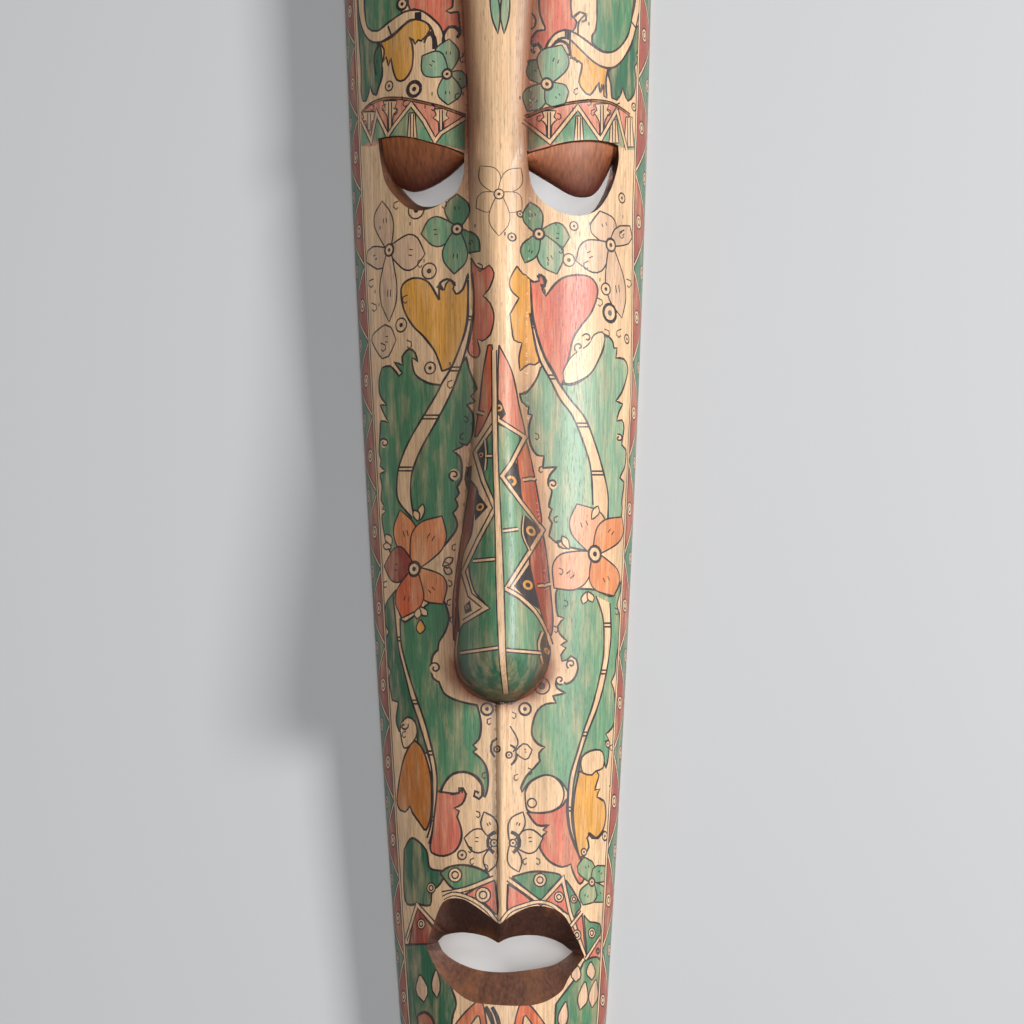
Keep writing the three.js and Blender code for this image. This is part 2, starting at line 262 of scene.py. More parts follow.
def brow_height(x, y):
    edge = np.where(x < 0, curve_at(np.array(EYES[0]["brow"]), x), curve_at(np.array(EYES[1]["brow"]), x))
    above = (y - edge) / BROW_DEPTH
    upward = np.where(above >= 0, smoothstep(1 - above, 0, 1), smoothstep(above, -BROW_UNDERSIDE, 0))
    inward = smoothstep(np.abs(x), BROW_INNER_X - BROW_FADE, BROW_INNER_X)
    outward = 1 - smoothstep(np.abs(x), BROW_OUTER_X - BROW_FADE, BROW_OUTER_X)
    return BROW_HEIGHT * upward * inward * outward


def groove_depth(x, y):
    """The V-shaped line cut above each brow."""
    depth = np.zeros_like(x * y)
    for line in BROW_LINES:
        off = np.abs(y - curve_at(line, x)) / GROOVE_HALF_WIDTH
        beside = (x > line[0, 0]) & (x < line[-1, 0])
        depth = np.where(beside, np.maximum(depth, GROOVE_DEPTH * np.clip(1 - off, 0, 1)), depth)
    return depth


# %% The whole outer surface
WAVER = 0.22  # mm: a surface planed by hand is never quite even
FLATS = [(0.071, 0.023, 0.4), (-0.052, 0.031, 2.1), (0.094, -0.017, 4.0), (0.033, 0.049, 1.2)]


def waver(x, y):
    """Slow shallow waves that make the varnish's highlights wander."""
    waves = [np.sin(turn_x * x + turn_y * y + start) for turn_x, turn_y, start in FLATS]
    return WAVER * sum(waves) / len(FLATS)


def face_height(x, y):
    fade = end_share(y) * np.sqrt(np.clip(1 - (x / np.maximum(half_width(y), TINY)) ** 2, 0, 1))
    carved = ridge_height(x, y) + brow_height(x, y) - groove_depth(x, y)
    return np.maximum(shell_height(x, y) + carved + (waver(x, y) - WAVER) * fade, 0)


print(f"Highest point {face_height(np.zeros(1), np.array([-200.0]))[0]:.1f} mm")

# %% [markdown]
# ## Peeling the face flat
#
# Ink lines and stains are flat things on a curved surface. It is easiest to draw them on the skin of the
# mask peeled off and laid flat, then to wrap that skin back. Across the mask, the flat place is the length
# of the arc from the middle, and along the mask it stays y. The table below is the arc length of a quarter
# ellipse, angle by angle.

# %% Skin places and real places
ANGLES = np.linspace(0, math.pi / 2, 2001)
ARC_STEPS = np.hypot(np.cos(ANGLES), BULGE * np.sin(ANGLES))
ARC = np.concatenate([[0], np.cumsum((ARC_STEPS[1:] + ARC_STEPS[:-1]) / 2) * (ANGLES[1] - ANGLES[0])])
QUARTER = ARC[-1]


def to_skin(x, y):
    half = np.maximum(half_width(y), TINY)
    angle = np.arcsin(np.clip(np.abs(x) / half, 0, 1))
    beyond = np.maximum(np.abs(x) - half, 0)
    return np.sign(x) * (half * np.interp(angle, ANGLES, ARC) + beyond)


def from_skin(across, y):
    half = half_width(y)
    share = np.abs(across) / np.maximum(half, TINY)
    return np.sign(across) * half * np.sin(np.interp(share, ARC, ANGLES))


def wrapped(skin):
    """Places on the mask for rows of flat skin places."""
    x = from_skin(skin[:, 0], skin[:, 1])
    return np.column_stack([x, skin[:, 1], face_height(x, skin[:, 1])])


print(f"The peeled skin is {2 * QUARTER * half_width(0.0):.0f} mm across at the nose")

# %% [markdown]
# ## The camera
#
# The photograph looks down on the mask from a little over two metres, eight degrees off square on the
# chin's side. A long lens keeps the sides of the mask nearly parallel. The camera comes this early because
# the drawing below is placed through it: each motif was read off the photograph in its pixels, and a line
# of sight from the camera finds where on the wood that is.

# %% Camera
PHOTO = 1024  # pixels across and down
LEAN = math.radians(8)
ROLL = math.radians(0.34)
DISTANCE = 2200  # mm
LENS = 115.5
SENSOR = 36
AIM = np.array([7.7, -112.0, 50.0])
FOCAL = LENS / SENSOR * PHOTO

look = np.array([0, math.sin(LEAN), -math.cos(LEAN)])
up_level = np.array([0, math.cos(LEAN), math.sin(LEAN)])
right_level = np.array([1.0, 0, 0])
up = up_level * math.cos(ROLL) + right_level * math.sin(ROLL)
right = right_level * math.cos(ROLL) - up_level * math.sin(ROLL)
eye_point = AIM - look * DISTANCE

camera_data = bpy.data.cameras.new("camera")
camera_data.lens = LENS
camera_data.sensor_width = SENSOR
camera = bpy.data.objects.new("camera", camera_data)
bpy.context.scene.collection.objects.link(camera)
camera.matrix_world = Matrix([
    [right[0], up[0], -look[0], eye_point[0] * MM],
    [right[1], up[1], -look[1], eye_point[1] * MM],
    [right[2], up[2], -look[2], eye_point[2] * MM],
    [0, 0, 0, 1],
])
bpy.context.scene.camera = camera
print("Camera at", np.round(eye_point).tolist(), "mm")

# %% From a pixel of the photograph to the wood
# Heights in mm where a line of sight is tested, from above the nose down
SIGHT_LEVELS = np.arange(125, -1, -2.5)
SIGHT_HALVINGS = 9


def on_wood(pixels):
    """Skin places of the spots on the mask that the given pixels of the photograph show."""
    pixels = np.asarray(pixels, float)
    sideways = np.outer((pixels[:, 0] - PHOTO / 2) / FOCAL, right)
    downwards = np.outer((pixels[:, 1] - PHOTO / 2) / FOCAL, up)
    sight = look + sideways - downwards

    def place_at(height):
        reach = (height - eye_point[2]) / sight[:, 2]
        return eye_point[0] + sight[:, 0] * reach, eye_point[1] + sight[:, 1] * reach

    above = np.full(len(pixels), SIGHT_LEVELS[0])
    under = np.zeros(len(pixels))
    found = np.zeros(len(pixels), bool)
    for level in SIGHT_LEVELS:
        hit = ~found & (face_height(*place_at(level)) >= level)
        under[hit] = level
        found |= hit
        above[~found] = level
    for _ in range(SIGHT_HALVINGS):
        middle = (above + under) / 2
        inside = face_height(*place_at(middle)) >= middle
        under = np.where(inside, middle, under)
        above = np.where(inside, above, middle)
    x, y = place_at(under)
    return np.column_stack([to_skin(x, y), y])


print("The photograph's middle shows the skin at", np.round(on_wood([(512, 512)])[0], 1).tolist())

# %% [markdown]
# ## The drawing kit
#
# Everything drawn on the mask is one of two things: a patch of stain, or a pen line. Both are kept as flat
# polygons in the order they were put on, and later the topmost one at any place decides its colour. A pen
# line is a chain of small four-sided pieces, a little wider and narrower along its way as a reed pen gives.
# All motifs are built on these two.

# %% Stain and pen line
INK_WIDTH = 1.5  # mm
PIXEL_MM = 0.67  # one pixel of the photograph on the middle of the face
DRAW_STEP = 3.4  # pixels between the points of a drawn curve
LONGEST_STEP = 5.5  # mm on the skin
PEN_WAVE = 0.16  # how much the pen line swells and thins
drawing = []  # (polygon on the skin, name of its stain), in the order they are put on


def stain(skin, name):
    drawing.append((skin, name))


def evened(skin):
    """The same path without points that fall together and with long gaps filled."""
    kept = [skin[0]]
    for point in skin[1:]:
        gap = np.hypot(*(point - kept[-1]))
        if gap < 0.25:
            continue
        pieces = int(gap // LONGEST_STEP) + 1
        start = kept[-1]
        kept.extend(start + (point - start) * i / pieces for i in range(1, pieces + 1))
    return np.array(kept)


def pen(skin, width=INK_WIDTH, name="ink"):
    """A pen line along a path on the skin."""
    path = evened(skin)
    if len(path) < 2:
        return
    step = np.diff(path, axis=0)
    step /= np.hypot(step[:, 0], step[:, 1])[:, None]
    ahead = np.vstack([step[:1], step])
    behind = np.vstack([step, step[-1:]])
    along = ahead + behind
    along /= np.maximum(np.hypot(along[:, 0], along[:, 1]), 0.2)[:, None]
    side = np.column_stack([-along[:, 1], along[:, 0]])
    run = np.arange(len(path))
    swell = 1 + PEN_WAVE * np.sin(run * 0.7 + path[0, 0]) * np.sin(run * 0.23 + path[0, 1])
    reach = side * (width / 2 * swell)[:, None]
    left = path + reach
    right_side = path - reach
    for i in range(len(path) - 1):
        drawing.append((np.array([left[i], right_side[i], right_side[i + 1], left[i + 1]]), name))


def drawn(points, step=DRAW_STEP):
    """A smooth path on the skin through pixels of the photograph."""
    return on_wood(spline(points, step))


def line(points, width=INK_WIDTH, name="ink", step=DRAW_STEP):
    pen(drawn(points, step), width, name)


def fill(points, name, step=DRAW_STEP):
    stain(drawn(points, step), name)


def shape(points, name, width=INK_WIDTH, step=DRAW_STEP):
    """A stained patch with a pen line all round. The last point is joined to the first."""
    path = drawn([*points, points[0]], step)
    stain(path[:-1], name)
    pen(path, width)


def circle(centre, radius, count=14):
    turns = np.arange(count + 1) / count * 2 * math.pi
    return centre + radius * np.column_stack([np.cos(turns), np.sin(turns)])


def ring(x, y, size, name="wood", dot=0.34, width=1.1, grey=False):
    """A small eye: a circle of the given radius in pixels, with a dot in it."""
    centre = on_wood([(x, y)])[0]
    outer = circle(centre, size * PIXEL_MM)
    stain(outer[:-1], name)
    pen(outer, width)
    if dot:
        stain(circle(centre, size * PIXEL_MM * dot, 9)[:-1], "grey" if grey else "ink")


print("Drawing kit ready")

# %% Straps, vines, petals and flowers
STRAP_WIDTH = 2.6  # mm
THIN_INK = 1.0


def beside(path, distance):
    """A path at a distance to the left of another, meeting properly at its corners."""
    step = np.diff(path, axis=0)
    step /= np.maximum(np.hypot(step[:, 0], step[:, 1]), TINY)[:, None]
    ahead = np.vstack([step, step[-1:]])
    behind = np.vstack([step[:1], step])
    along = ahead + behind
    size = np.maximum(np.hypot(along[:, 0], along[:, 1]), 0.5)
    normal = np.column_stack([-along[:, 1], along[:, 0]]) / size[:, None]
    return path + normal * (distance * 2 / size)[:, None]


def strap(points, width=STRAP_WIDTH, name="wood", ink=THIN_INK, step=DRAW_STEP):
    """A narrow band left in the colour of the wood, with a pen line on each side."""
    path = drawn(points, step)
    strap_on_skin(path, width, name, ink)


def strap_on_skin(path, width=STRAP_WIDTH, name="wood", ink=THIN_INK):
    path = evened(path)
    left, right_side = beside(path, width / 2), beside(path, -width / 2)
    for i in range(len(path) - 1):
        stain(np.array([left[i], right_side[i], right_side[i + 1], left[i + 1]]), name)
    pen(left, ink)
    pen(right_side, ink)


def sharp(points):
    """The same points with every one a corner."""
    return [point for point in points for _ in (0, 1)]


def vine(left, right_side, joints=(), name="wood", ink=1.5):
    """A stem between two edges, with double bars at its joints like bamboo."""
    left_path, right_path = drawn(left), drawn(right_side)
    stain(np.vstack([left_path, right_path[::-1]]), name)
    pen(left_path, ink)
    pen(right_path, ink)
    for joint in joints:
        for shift in (-1.8, 1.8):
            ends = []
            for edge in (spline(left, 2.0), spline(right_side, 2.0)):
                order = np.argsort(edge[:, 1])
                ends.append((np.interp(joint + shift, edge[order, 1], edge[order, 0]), joint + shift))
            line(ends, 1.2)


# Each pair is a share of the petal's length and of its breadth
PETAL_FORM = [(0.0, 0.16), (0.22, 0.62), (0.5, 1.0), (0.74, 0.86), (0.92, 0.3)]


def petal(centre, tip, breadth, name="petal", marks=True, ink=1.1):
    """One petal: narrow at the flower's middle, broad past half way, drawn out to a small point."""
    centre, tip = np.array(centre, float), np.array(tip, float)
    axis = tip - centre
    side = np.array([-axis[1], axis[0]]) / np.hypot(*axis) * breadth / 2
    lean = 0.16 * math.sin(tip[0] + 2 * tip[1])  # drawn by hand, so no petal is even
    one = [tuple(centre + axis * far + side * (out * (1 + lean))) for far, out in PETAL_FORM]
    other = [tuple(centre + axis * far - side * (out * (1 - lean))) for far, out in PETAL_FORM[::-1]]
    shape([*one, tuple(tip), tuple(tip), *other], name, ink)
    if marks:
        for out in (-0.16, 0.16):
            start = centre + axis * 0.55 + side * out
            line([start, start + axis * 0.1], 0.8, step=6)


def flower(centre, petals, name="petal", size=5.5, width=1.6):
    """Petals round an eye, given by tip and breadth, with a third value where one has its own stain."""
    for tip, breadth, *own in petals:
        petal(centre, tip, breadth, own[0] if own else name)
    ring(*centre, size, width=width)


def curl(x, y, size, start, sweep=400, name="wood", width=1.3):
    """A rolled-up end of a leaf: a spiral pen line on a small round patch."""
    turns = np.radians(np.linspace(start, start + sweep, 15))
    reach = np.linspace(size, size * 0.2, 15)
    points = list(zip(x + reach * np.cos(turns), y + reach * np.sin(turns)))
    stain(circle(on_wood([(x, y)])[0], size * PIXEL_MM, 12)[:-1], name)
    line(points, width, step=2)


def double_ring(x, y, size=5.0, name="wood"):
    """The borders' eyes: one circle inside another."""
    centre = on_wood([(x, y)])[0]
    double_ring_on_skin(centre, size * PIXEL_MM, name)


def double_ring_on_skin(centre, radius, name="wood"):
    stain(circle(centre, radius)[:-1], name)
    pen(circle(centre, radius), THIN_INK)
    pen(circle(centre, radius * 0.5, 10), THIN_INK)


def ticks(*starts, length=3.5, lean=0.0):
    """Small loose pen dashes that fill the gaps between motifs."""
    for x, y in starts:
        line([(x, y), (x + lean, y + length)], 0.9, step=8)


def hook(x, y, size=5, way=1, width=0.9):
    """A small comma of the pen."""
    line([(x - way * size * 0.5, y - size), (x + way * size * 0.4, y - size * 0.6),
          (x + way * size * 0.5, y + size * 0.2),
          (x, y + size * 0.7), (x - way * size * 0.4, y + size * 0.3)], width, step=2.5)


def hooks(*places, size=5):
    """Commas, each turned against the one before."""
    for number, (x, y) in enumerate(places):
        hook(x, y, size, 1 if number % 2 else -1)


print("Motifs ready")

# %% [markdown]
# ## Laying out the ornament
#
# The ornament is the kind that batik makers draw on wood: scalloped leaf fields, jointed vines, hearts,
# flowers and many small eyes, between two zigzag borders. Large fields go on first, then what lies over
# them. Each place below is a pixel of the photograph, 1024 across, read off it. A point in square brackets
# is a sharp corner, which gives the leaf edges their little hooks.

# %% Laying a list of motifs on
def cornered(points):
    """The points of a list, with those in square brackets given twice, which makes a sharp corner of them."""
    return [point for p in points for point in ([tuple(p)] * 2 if isinstance(p, list) else [p])]


def lay_on(motifs):
    """Draws a list of motifs in its order. A row says what draws it, where, and its colours and widths."""
    for draw, *details in motifs:
        named = details.pop() if isinstance(details[-1], dict) else {}
        draw(*(cornered(detail) if isinstance(detail, list) else detail for detail in details), **named)


# %% Leaf fields on the cheeks
UPPER_LEFT_FIELD = cornered([
    (382, 368), (390, 366), [399, 376], [402, 373], [394, 362], [403, 365], (402, 357), (409, 349),
    (415, 353), [418, 362], (412, 358), (415, 374), (428, 383), [441, 385], (455, 372), [466, 357],
    (470, 372), [477, 389], [471, 396], [475, 401], [467, 405], (473, 415), (473, 432), (467, 445),
    [459, 442], [463, 446], [453, 451], (460, 457), (462, 467), (461, 480), (457, 487), (459, 493),
    [455, 499], (458, 506), [453, 513], (457, 522), (456, 530), [445, 545], (430, 556), (400, 560),
    (388, 548), (383, 527), (382, 515), [386, 511], (382, 509), [384, 506], (381, 500), (382, 486),
    (380, 474), [386, 471], (380, 466), (381, 460), (379, 452), (380, 433), (381, 421), [389, 423],
    (386, 418), [380, 405], [387, 405], (380, 395), (379, 380),
])
UPPER_RIGHT_FIELD = cornered([
    (541, 367), (536, 380), (527, 392), [520, 394], (522, 402), [529, 407], (528, 414), [532, 415],
    (529, 426), (529, 438), (532, 448), (537, 455), [544, 456], [543, 468], [557, 467], (550, 475),
    (548, 484), (552, 491), (550, 500), (549, 507), [552, 509], (549, 518), [552, 523], [549, 536],
    (562, 545), (600, 550), (618, 525), (622, 512), (622, 500), (624, 482), (620, 478), (625, 466),
    (626, 450), (622, 445), (624, 428), (622, 420), (617, 421), (619, 412), [623, 404], [616, 401],
    (622, 392), (626, 380), (628, 368), (624, 359), [616, 358], (617, 348), (614, 348), (613, 342),
    (608, 336), (600, 334), (604, 345), (600, 357), (590, 374), (575, 384), (565, 384), (556, 378),
    (548, 366),
])
LOWER_LEFT_FIELD = cornered([
    (400, 612), (405, 622), [428, 604], (437, 597), (443, 599), [446, 606], (449, 618), (445, 632),
    (439, 642), [438, 650], (433, 655), (431, 667), (433, 678), [439, 682], (444, 693), (453, 699),
    (466, 703), [477, 705], (480, 716), (481, 727), (479, 739), [473, 745], [477, 749], [473, 752],
    (482, 760), (487, 770), (488, 785), (485, 797), (482, 795), (482, 786), (476, 777), (466, 772),
    (455, 773), (446, 781), (440, 792), (436, 800), (434, 785), (433, 770), (428, 748), (420, 722),
    (412, 700), (404, 672), (399, 645), (398, 620),
])
LOWER_LEFT_SIDE = cornered([
    (396, 590), (398, 625), (401, 650), (407, 678), (415, 704), (423, 728), (428, 752), (418, 748),
    (417, 730), (410, 718), (404, 720), (403, 727), [408, 731], [399, 731], (396, 720), (398, 702),
    [392, 700], (389, 680), [391, 672], (387, 660), (386, 640), [389, 632], (385, 622), (386, 604),
])
LOWER_RIGHT_FIELD = cornered([
    (556, 593), (560, 585), (569, 588), [583, 589], (596, 590), (612, 596), [622, 580], (620, 593),
    (617, 605), (619, 613), (620, 635), (618, 648), (616, 660), (615, 673), [611, 682], (614, 690),
    (615, 702), (615, 718), (612, 728), [606, 734], [609, 740], [605, 741], (609, 746), (608, 760),
    [606, 768], (600, 752), (590, 752), (582, 758), (579, 770), (576, 790), [570, 800], (567, 790),
    (559, 780), (546, 775), (531, 781), [522, 792], (521, 788), (526, 777), (534, 768), [540, 761],
    (539, 753), [545, 747], (538, 744), (532, 735), (533, 722), (538, 710), (546, 704), [556, 703],
    [553, 696], [566, 693], (557, 688), (556, 681), (560, 677), (566, 684), (574, 679), (578, 668),
    (576, 659), (571, 656), (567, 660), (562, 661), (561, 655), [566, 648], [561, 645], [567, 641],
    (560, 634), (558, 626), [564, 618], (558, 616), (556, 603),
])
shape(UPPER_LEFT_FIELD, "green")
shape(UPPER_RIGHT_FIELD, "pale green")
shape(LOWER_LEFT_FIELD, "green")
shape(LOWER_LEFT_SIDE, "deep green")
shape(LOWER_RIGHT_FIELD, "leaf")
FIELD_CURLS = [
    (454, 475, 6, 90), (384, 443, 5, 200), (553, 484, 5, 150), (619, 438, 4, 250), (435, 668, 6, 200),
    (571, 664, 5, 120), (560, 680, 5, 60),
]
for x, y, size, start in FIELD_CURLS:
    curl(x, y, size, start)
print("Fields:", len(drawing), "pieces so far")

# %% Hearts and strips beside the column
OCHRE_HEART = cornered([
    (439, 300), (429, 283), (418, 278), (408, 280), (401, 289), (404, 310), (413, 326), (423, 336),
    (435, 352), [442, 371], (453, 365), (463, 339), (467, 319), (468, 300), [468, 273], (463, 289),
    (456, 294), (453, 289), (455, 283), (450, 279), (446, 284), [444, 290], [439, 284],
])
CORAL_HEART = cornered([
    (530, 280), (532, 306), (535, 326), (543, 352), (555, 374), (561, 386), (565, 375), (569, 358),
    (573, 339), (581, 326), (591, 313), (597, 297), (597, 286), (590, 277), (578, 275), (565, 277),
    (555, 284), [546, 296], (542, 289), (545, 286), (543, 277), (539, 274), (539, 281), (534, 282),
])
CORAL_STRIP = cornered([
    (471, 258), (477, 267), (484, 269), (489, 265), (494, 273), (492, 282), [489, 289], [483, 296],
    (490, 303), (494, 317), (490, 335), [482, 341], [477, 339], (480, 352), (476, 358), (468, 351),
    (472, 330), (474, 313), (472, 290),
])
OCHRE_STRIP = cornered([
    (517, 266), (510, 279), (511, 290), [519, 298], [510, 314], (512, 330), (514, 340), [522, 343],
    (519, 358), [520, 371], (529, 364), (539, 362), (533, 326), (531, 300), (530, 279), (523, 274),
])
PALE_BEAN = [
    (565, 383), (573, 383), (590, 374), (600, 356), (605, 339), (602, 332), (594, 335), (588, 345),
    (577, 352), (569, 360), (563, 373),
]
HEART_MOTIFS = [
    (shape, OCHRE_HEART, "ochre"),
    (shape, CORAL_HEART, "coral"),
    (shape, CORAL_STRIP, "coral", 1.1),
    (shape, OCHRE_STRIP, "ochre", 1.1),
    (shape, PALE_BEAN, "bare light", 1.0),
    (line, [(437, 286), [442, 290], (440, 283), (447, 279), (452, 281), (455, 286)], 2.0),
    (line, [(541, 284), (546, 294), (543, 288), (546, 281), (541, 275), (537, 277)], 2.0),
    (curl, 579, 347, 5, 120, 330),
    (curl, 587, 338, 5, 200, 300),
]
lay_on(HEART_MOTIFS)

# %% Vines
CHEEK_VINE_MOTIFS = [
    (vine, [(468, 280), (468, 313), (465, 332), (453, 364), (442, 383), (436, 395), (418, 425), (407, 445),
     (399, 466), (397, 480), (398, 500), (412, 518)], [(472, 273), (474, 300), (472, 320), (467, 345),
     (460, 369), (450, 395), (436, 422), (423, 445), (415, 463), (411, 479), (411, 500), (414, 516)],
     (318, 369, 417, 469)),
    (vine, [(530, 313), (533, 332), (539, 358), (551, 381), (560, 399), (573, 417), (585, 447), (591, 470),
     (593, 505)], [(531, 313), (536, 332), (544, 356), (556, 378), (570, 399), (585, 418), (595, 443),
     (603, 470), (608, 494), (608, 519)], (326, 377, 425, 473)),
    (vine, [(393, 595), (396, 626), (399, 651), (406, 679), (411, 699), (419, 723), (427, 750), (432, 774),
     (432, 816), (427, 838)], [(400, 618), (401, 643), (408, 672), (416, 697), (424, 720), (431, 745),
     (436, 768), (437, 789), (434, 822), (429, 844)], (639, 702, 753, 819)),
    (vine, [(596, 596), (603, 618), (604, 649), (601, 671), (593, 704), (584, 730), (577, 753), (570, 777),
     (568, 803), (570, 828), (577, 850), (584, 873)], [(610, 603), (611, 637), (606, 675), (598, 706),
     (587, 735), (577, 768), (573, 791), (572, 822), (577, 845), (583, 865)], (625, 672, 734, 809)),
]
lay_on(CHEEK_VINE_MOTIFS)

# %% Flowers on the cheeks
CHEEK_FLOWER_MOTIFS = [
    (flower, (389, 250), [((382, 201), 19), ((366, 262), 24), ((425, 254), 36), ((389, 322), 17)],
     {"size": 6}),
    (flower, (457, 229), [((480, 251), 20, "green"), ((457, 194), 25, "green"), ((421, 234), 30, "leaf"),
     ((454, 274), 25, "leaf")], "leaf"),
    (flower, (611, 245), [((600, 211), 26), ((576, 261), 34), ((630, 226), 20), ((622, 318), 19)],
     {"size": 6.5}),
    (flower, (539, 234), [((530, 202), 20, "leaf"), ((570, 237), 30, "leaf"), ((557, 274), 26,
     "pale green"), ((525, 263), 18, "leaf")], "leaf"),
    (petal, (372, 338), (396, 340), 34),
    (flower, (414, 569), [((400, 510), 24, "orange"), ((442, 516), 34, "orange"), ((384, 566), 36,
     "dark red"), ((443, 604), 30, "orange"), ((402, 618), 28, "flame")], "orange", 7, 2.0),
    (flower, (595, 554), [((577, 504), 36, "orange light"), ((622, 517), 26, "orange"), ((554, 588), 38,
     "orange light"), ((614, 596), 30, "orange")], "orange", 8, 2.0),
]
lay_on(CHEEK_FLOWER_MOTIFS)

# %% Buds, eyes and small marks
BUDS = [
    ((420, 520), (423, 504)), ((418, 521), (414, 510)), ((443, 566), (453, 558)), ((444, 568), (452, 573)),
    ((420, 607), (427, 616)), ((419, 608), (417, 619)), ((592, 519), (598, 506)), ((570, 548), (557, 541)),
    ((569, 549), (562, 536)), ((587, 592), (583, 604)), ((588, 592), (593, 602)), ((391, 545), (386, 534)),
    ((391, 548), (383, 545)),
]
for base, end in BUDS:
    petal(base, end, 7, "wood", marks=False)
SMALL_MARK_FIRST_LAYER = [
    (petal, (420, 620), (420, 634), 9, "ochre", {"marks": False}),
]
lay_on(SMALL_MARK_FIRST_LAYER)
EYES_OF_INK = [
    (429, 271, 8), (401, 325, 7), (430, 368, 6), (574, 226, 4.5), (569, 260, 6.5), (606, 289, 6),
    (416, 210, 9), (622, 198, 5), (512, 237, 4), (520, 214, 3),
]
for x, y, size in EYES_OF_INK:
    ring(x, y, size)
SMALL_MARK_SECOND_LAYER = [
    (ring, 610, 313, 9, {"width": 2.2, "grey": True}),
    (ring, 542, 686, 8, {"dot": 0.45, "grey": True}),
    (ring, 627, 339, 4.5),
]
lay_on(SMALL_MARK_SECOND_LAYER)
EYES_UNDER_THE_NOSE = [(487, 709), (525, 709)]
for x, y in EYES_UNDER_THE_NOSE:
    ring(x, y, 6, width=1.5)
COLUMN_FLOWER_TIPS = [(480, 166), (521, 168), (476, 208), (522, 210), (499, 236)]
COLUMN_FLOWER = (499, 194)
for tip in COLUMN_FLOWER_TIPS:
    petal(COLUMN_FLOWER, tip, 21, "wood", marks=False, ink=0.6)
SMALL_MARK_THIRD_LAYER = [
    (ring, 499, 194, 5, {"width": 0.9}),
    (ticks, (424, 259), (441, 200), (410, 222), (380, 226), (475, 224), (505, 232), (556, 222), (590, 222),
     (600, 278), (548, 262), (450, 362), (396, 300), (623, 215), (375, 290), (379, 303)),
    (hooks, (405, 300), (383, 348), (420, 264), (600, 303), (619, 334), (607, 334), (586, 266), (561, 250),
     (577, 207), (444, 205), (396, 206), (629, 284), (371, 284), (374, 308), (450, 385), (409, 345),
     (622, 235), (480, 268)),
    (hooks, (454, 548), (450, 584), (449, 603), (447, 566), (452, 620), (561, 572), (556, 520), (566, 604),
     (560, 545), (466, 420), (462, 437), (537, 437), (541, 470), (556, 630), (385, 585), (617, 612),
     {"size": 4}),
]
lay_on(SMALL_MARK_THIRD_LAYER)
print("Cheeks:", len(drawing), "pieces so far")

# %% [markdown]
# ## The nose
#
# A stem runs down the middle of the nose in the colour of the wood. Zigzag straps leave black triangles
# with an eye in each along both flanks, over red strips, and the bulb is green with one band round it.

# %% Nose
NOSE_LEFT = [
    (494, 424), (476, 452), (484, 485), (494, 508), (480, 538), (469, 562), (474, 590), (486, 608),
    (466, 621), (458, 637), (457, 660), (463, 680), (480, 694), (506, 701),
]
NOSE_RIGHT = [
    (498, 424), (520, 437), (508, 468), (503, 476), (520, 500), (541, 531), (525, 560), (507, 589),
    (520, 600), (540, 620), (548, 640), (550, 656), (543, 675), (525, 693), (506, 701),
]
# The dark red strip on the nose's left flank: its upper part is the red strip itself, and its lower end runs
# on down the foot of the nose as painted shade
LEFT_STRIP = [
    (470, 480), (478, 492), (474, 512), (471, 535), (463, 556), (458, 600), (459, 628), (454, 640),
    (453, 600), (458, 560), (464, 520),
]
NOSE_FIRST_LAYER = [
    (shape, [*NOSE_LEFT, (504, 640), (500, 560), (496, 480)], "green", 1.2),
    (shape, [*NOSE_RIGHT, (504, 640), (502, 560), (498, 480)], "leaf", 1.2),
    (shape, [(488, 345), (483, 372), (479, 407), (475, 437), (481, 430), (487, 418), (492, 405), (493, 380),
     (492, 345)], "flame", 1.1),
    # Painted highlight: this strip right of the stem is a paler coral where the highlight along the crest
    # falls
    (shape, [(499, 345), (512, 372), (519, 405), (525, 436), (510, 426), (499, 414), (498, 380)],
     "coral light", 1.1),
    (shape, LEFT_STRIP, "dark red", 1.1),
    (shape, [(525, 437), (518, 450), (517, 458), (523, 502), (541, 524), (537, 490), (530, 455)], "flame",
     1.1),
    (shape, [(542, 530), (530, 556), (533, 580), (540, 609), (550, 636), (553, 620), (550, 586),
     (546, 550)], "red", 1.1),
    # Painted shade: a darker green over the underside of the bulb, which faces down
    (fill, [(459, 656), (480, 652), (504, 649), (528, 651), (548, 657), (543, 675), (525, 692), (506, 700),
     (480, 693), (463, 680)], "bulb green"),
]
lay_on(NOSE_FIRST_LAYER)
BLACKS = [
    [(482, 441), (476, 450), (477, 459), (483, 467), (484, 450)],
    [(476, 490), (488, 507), (475, 521), (474, 505)],
    [(466, 466), (464, 479), (467, 491), (471, 480), (472, 466)],
    [(496, 396), (502, 403), (506, 414), (502, 419), (496, 413)],
    [(515, 458), (521, 480), (522, 502), (510, 493), (503, 483), (508, 470)],
    [(525, 515), (542, 530), (529, 549), (524, 533)],
    [(530, 563), (514, 586), (525, 598), (539, 610), (535, 586)],
    [(543, 631), (540, 643), (542, 655), (547, 664), (551, 656), (550, 646), (546, 637)],
    [(470, 600), (464, 606), (465, 614), (472, 611)],
]
for points in BLACKS:
    fill(sharp(points), "ink")
NOSE_EYES = [
    (481, 455, 3), (480, 507, 4.5), (468, 479, 2), (499, 408, 4), (511, 481, 6), (531, 531, 5.5),
    (528, 585, 5.5), (547, 651, 3.5), (467, 607, 2.5),
]
for x, y, size in NOSE_EYES:
    ring(x, y, size, "ochre", dot=0.45, width=0.8)
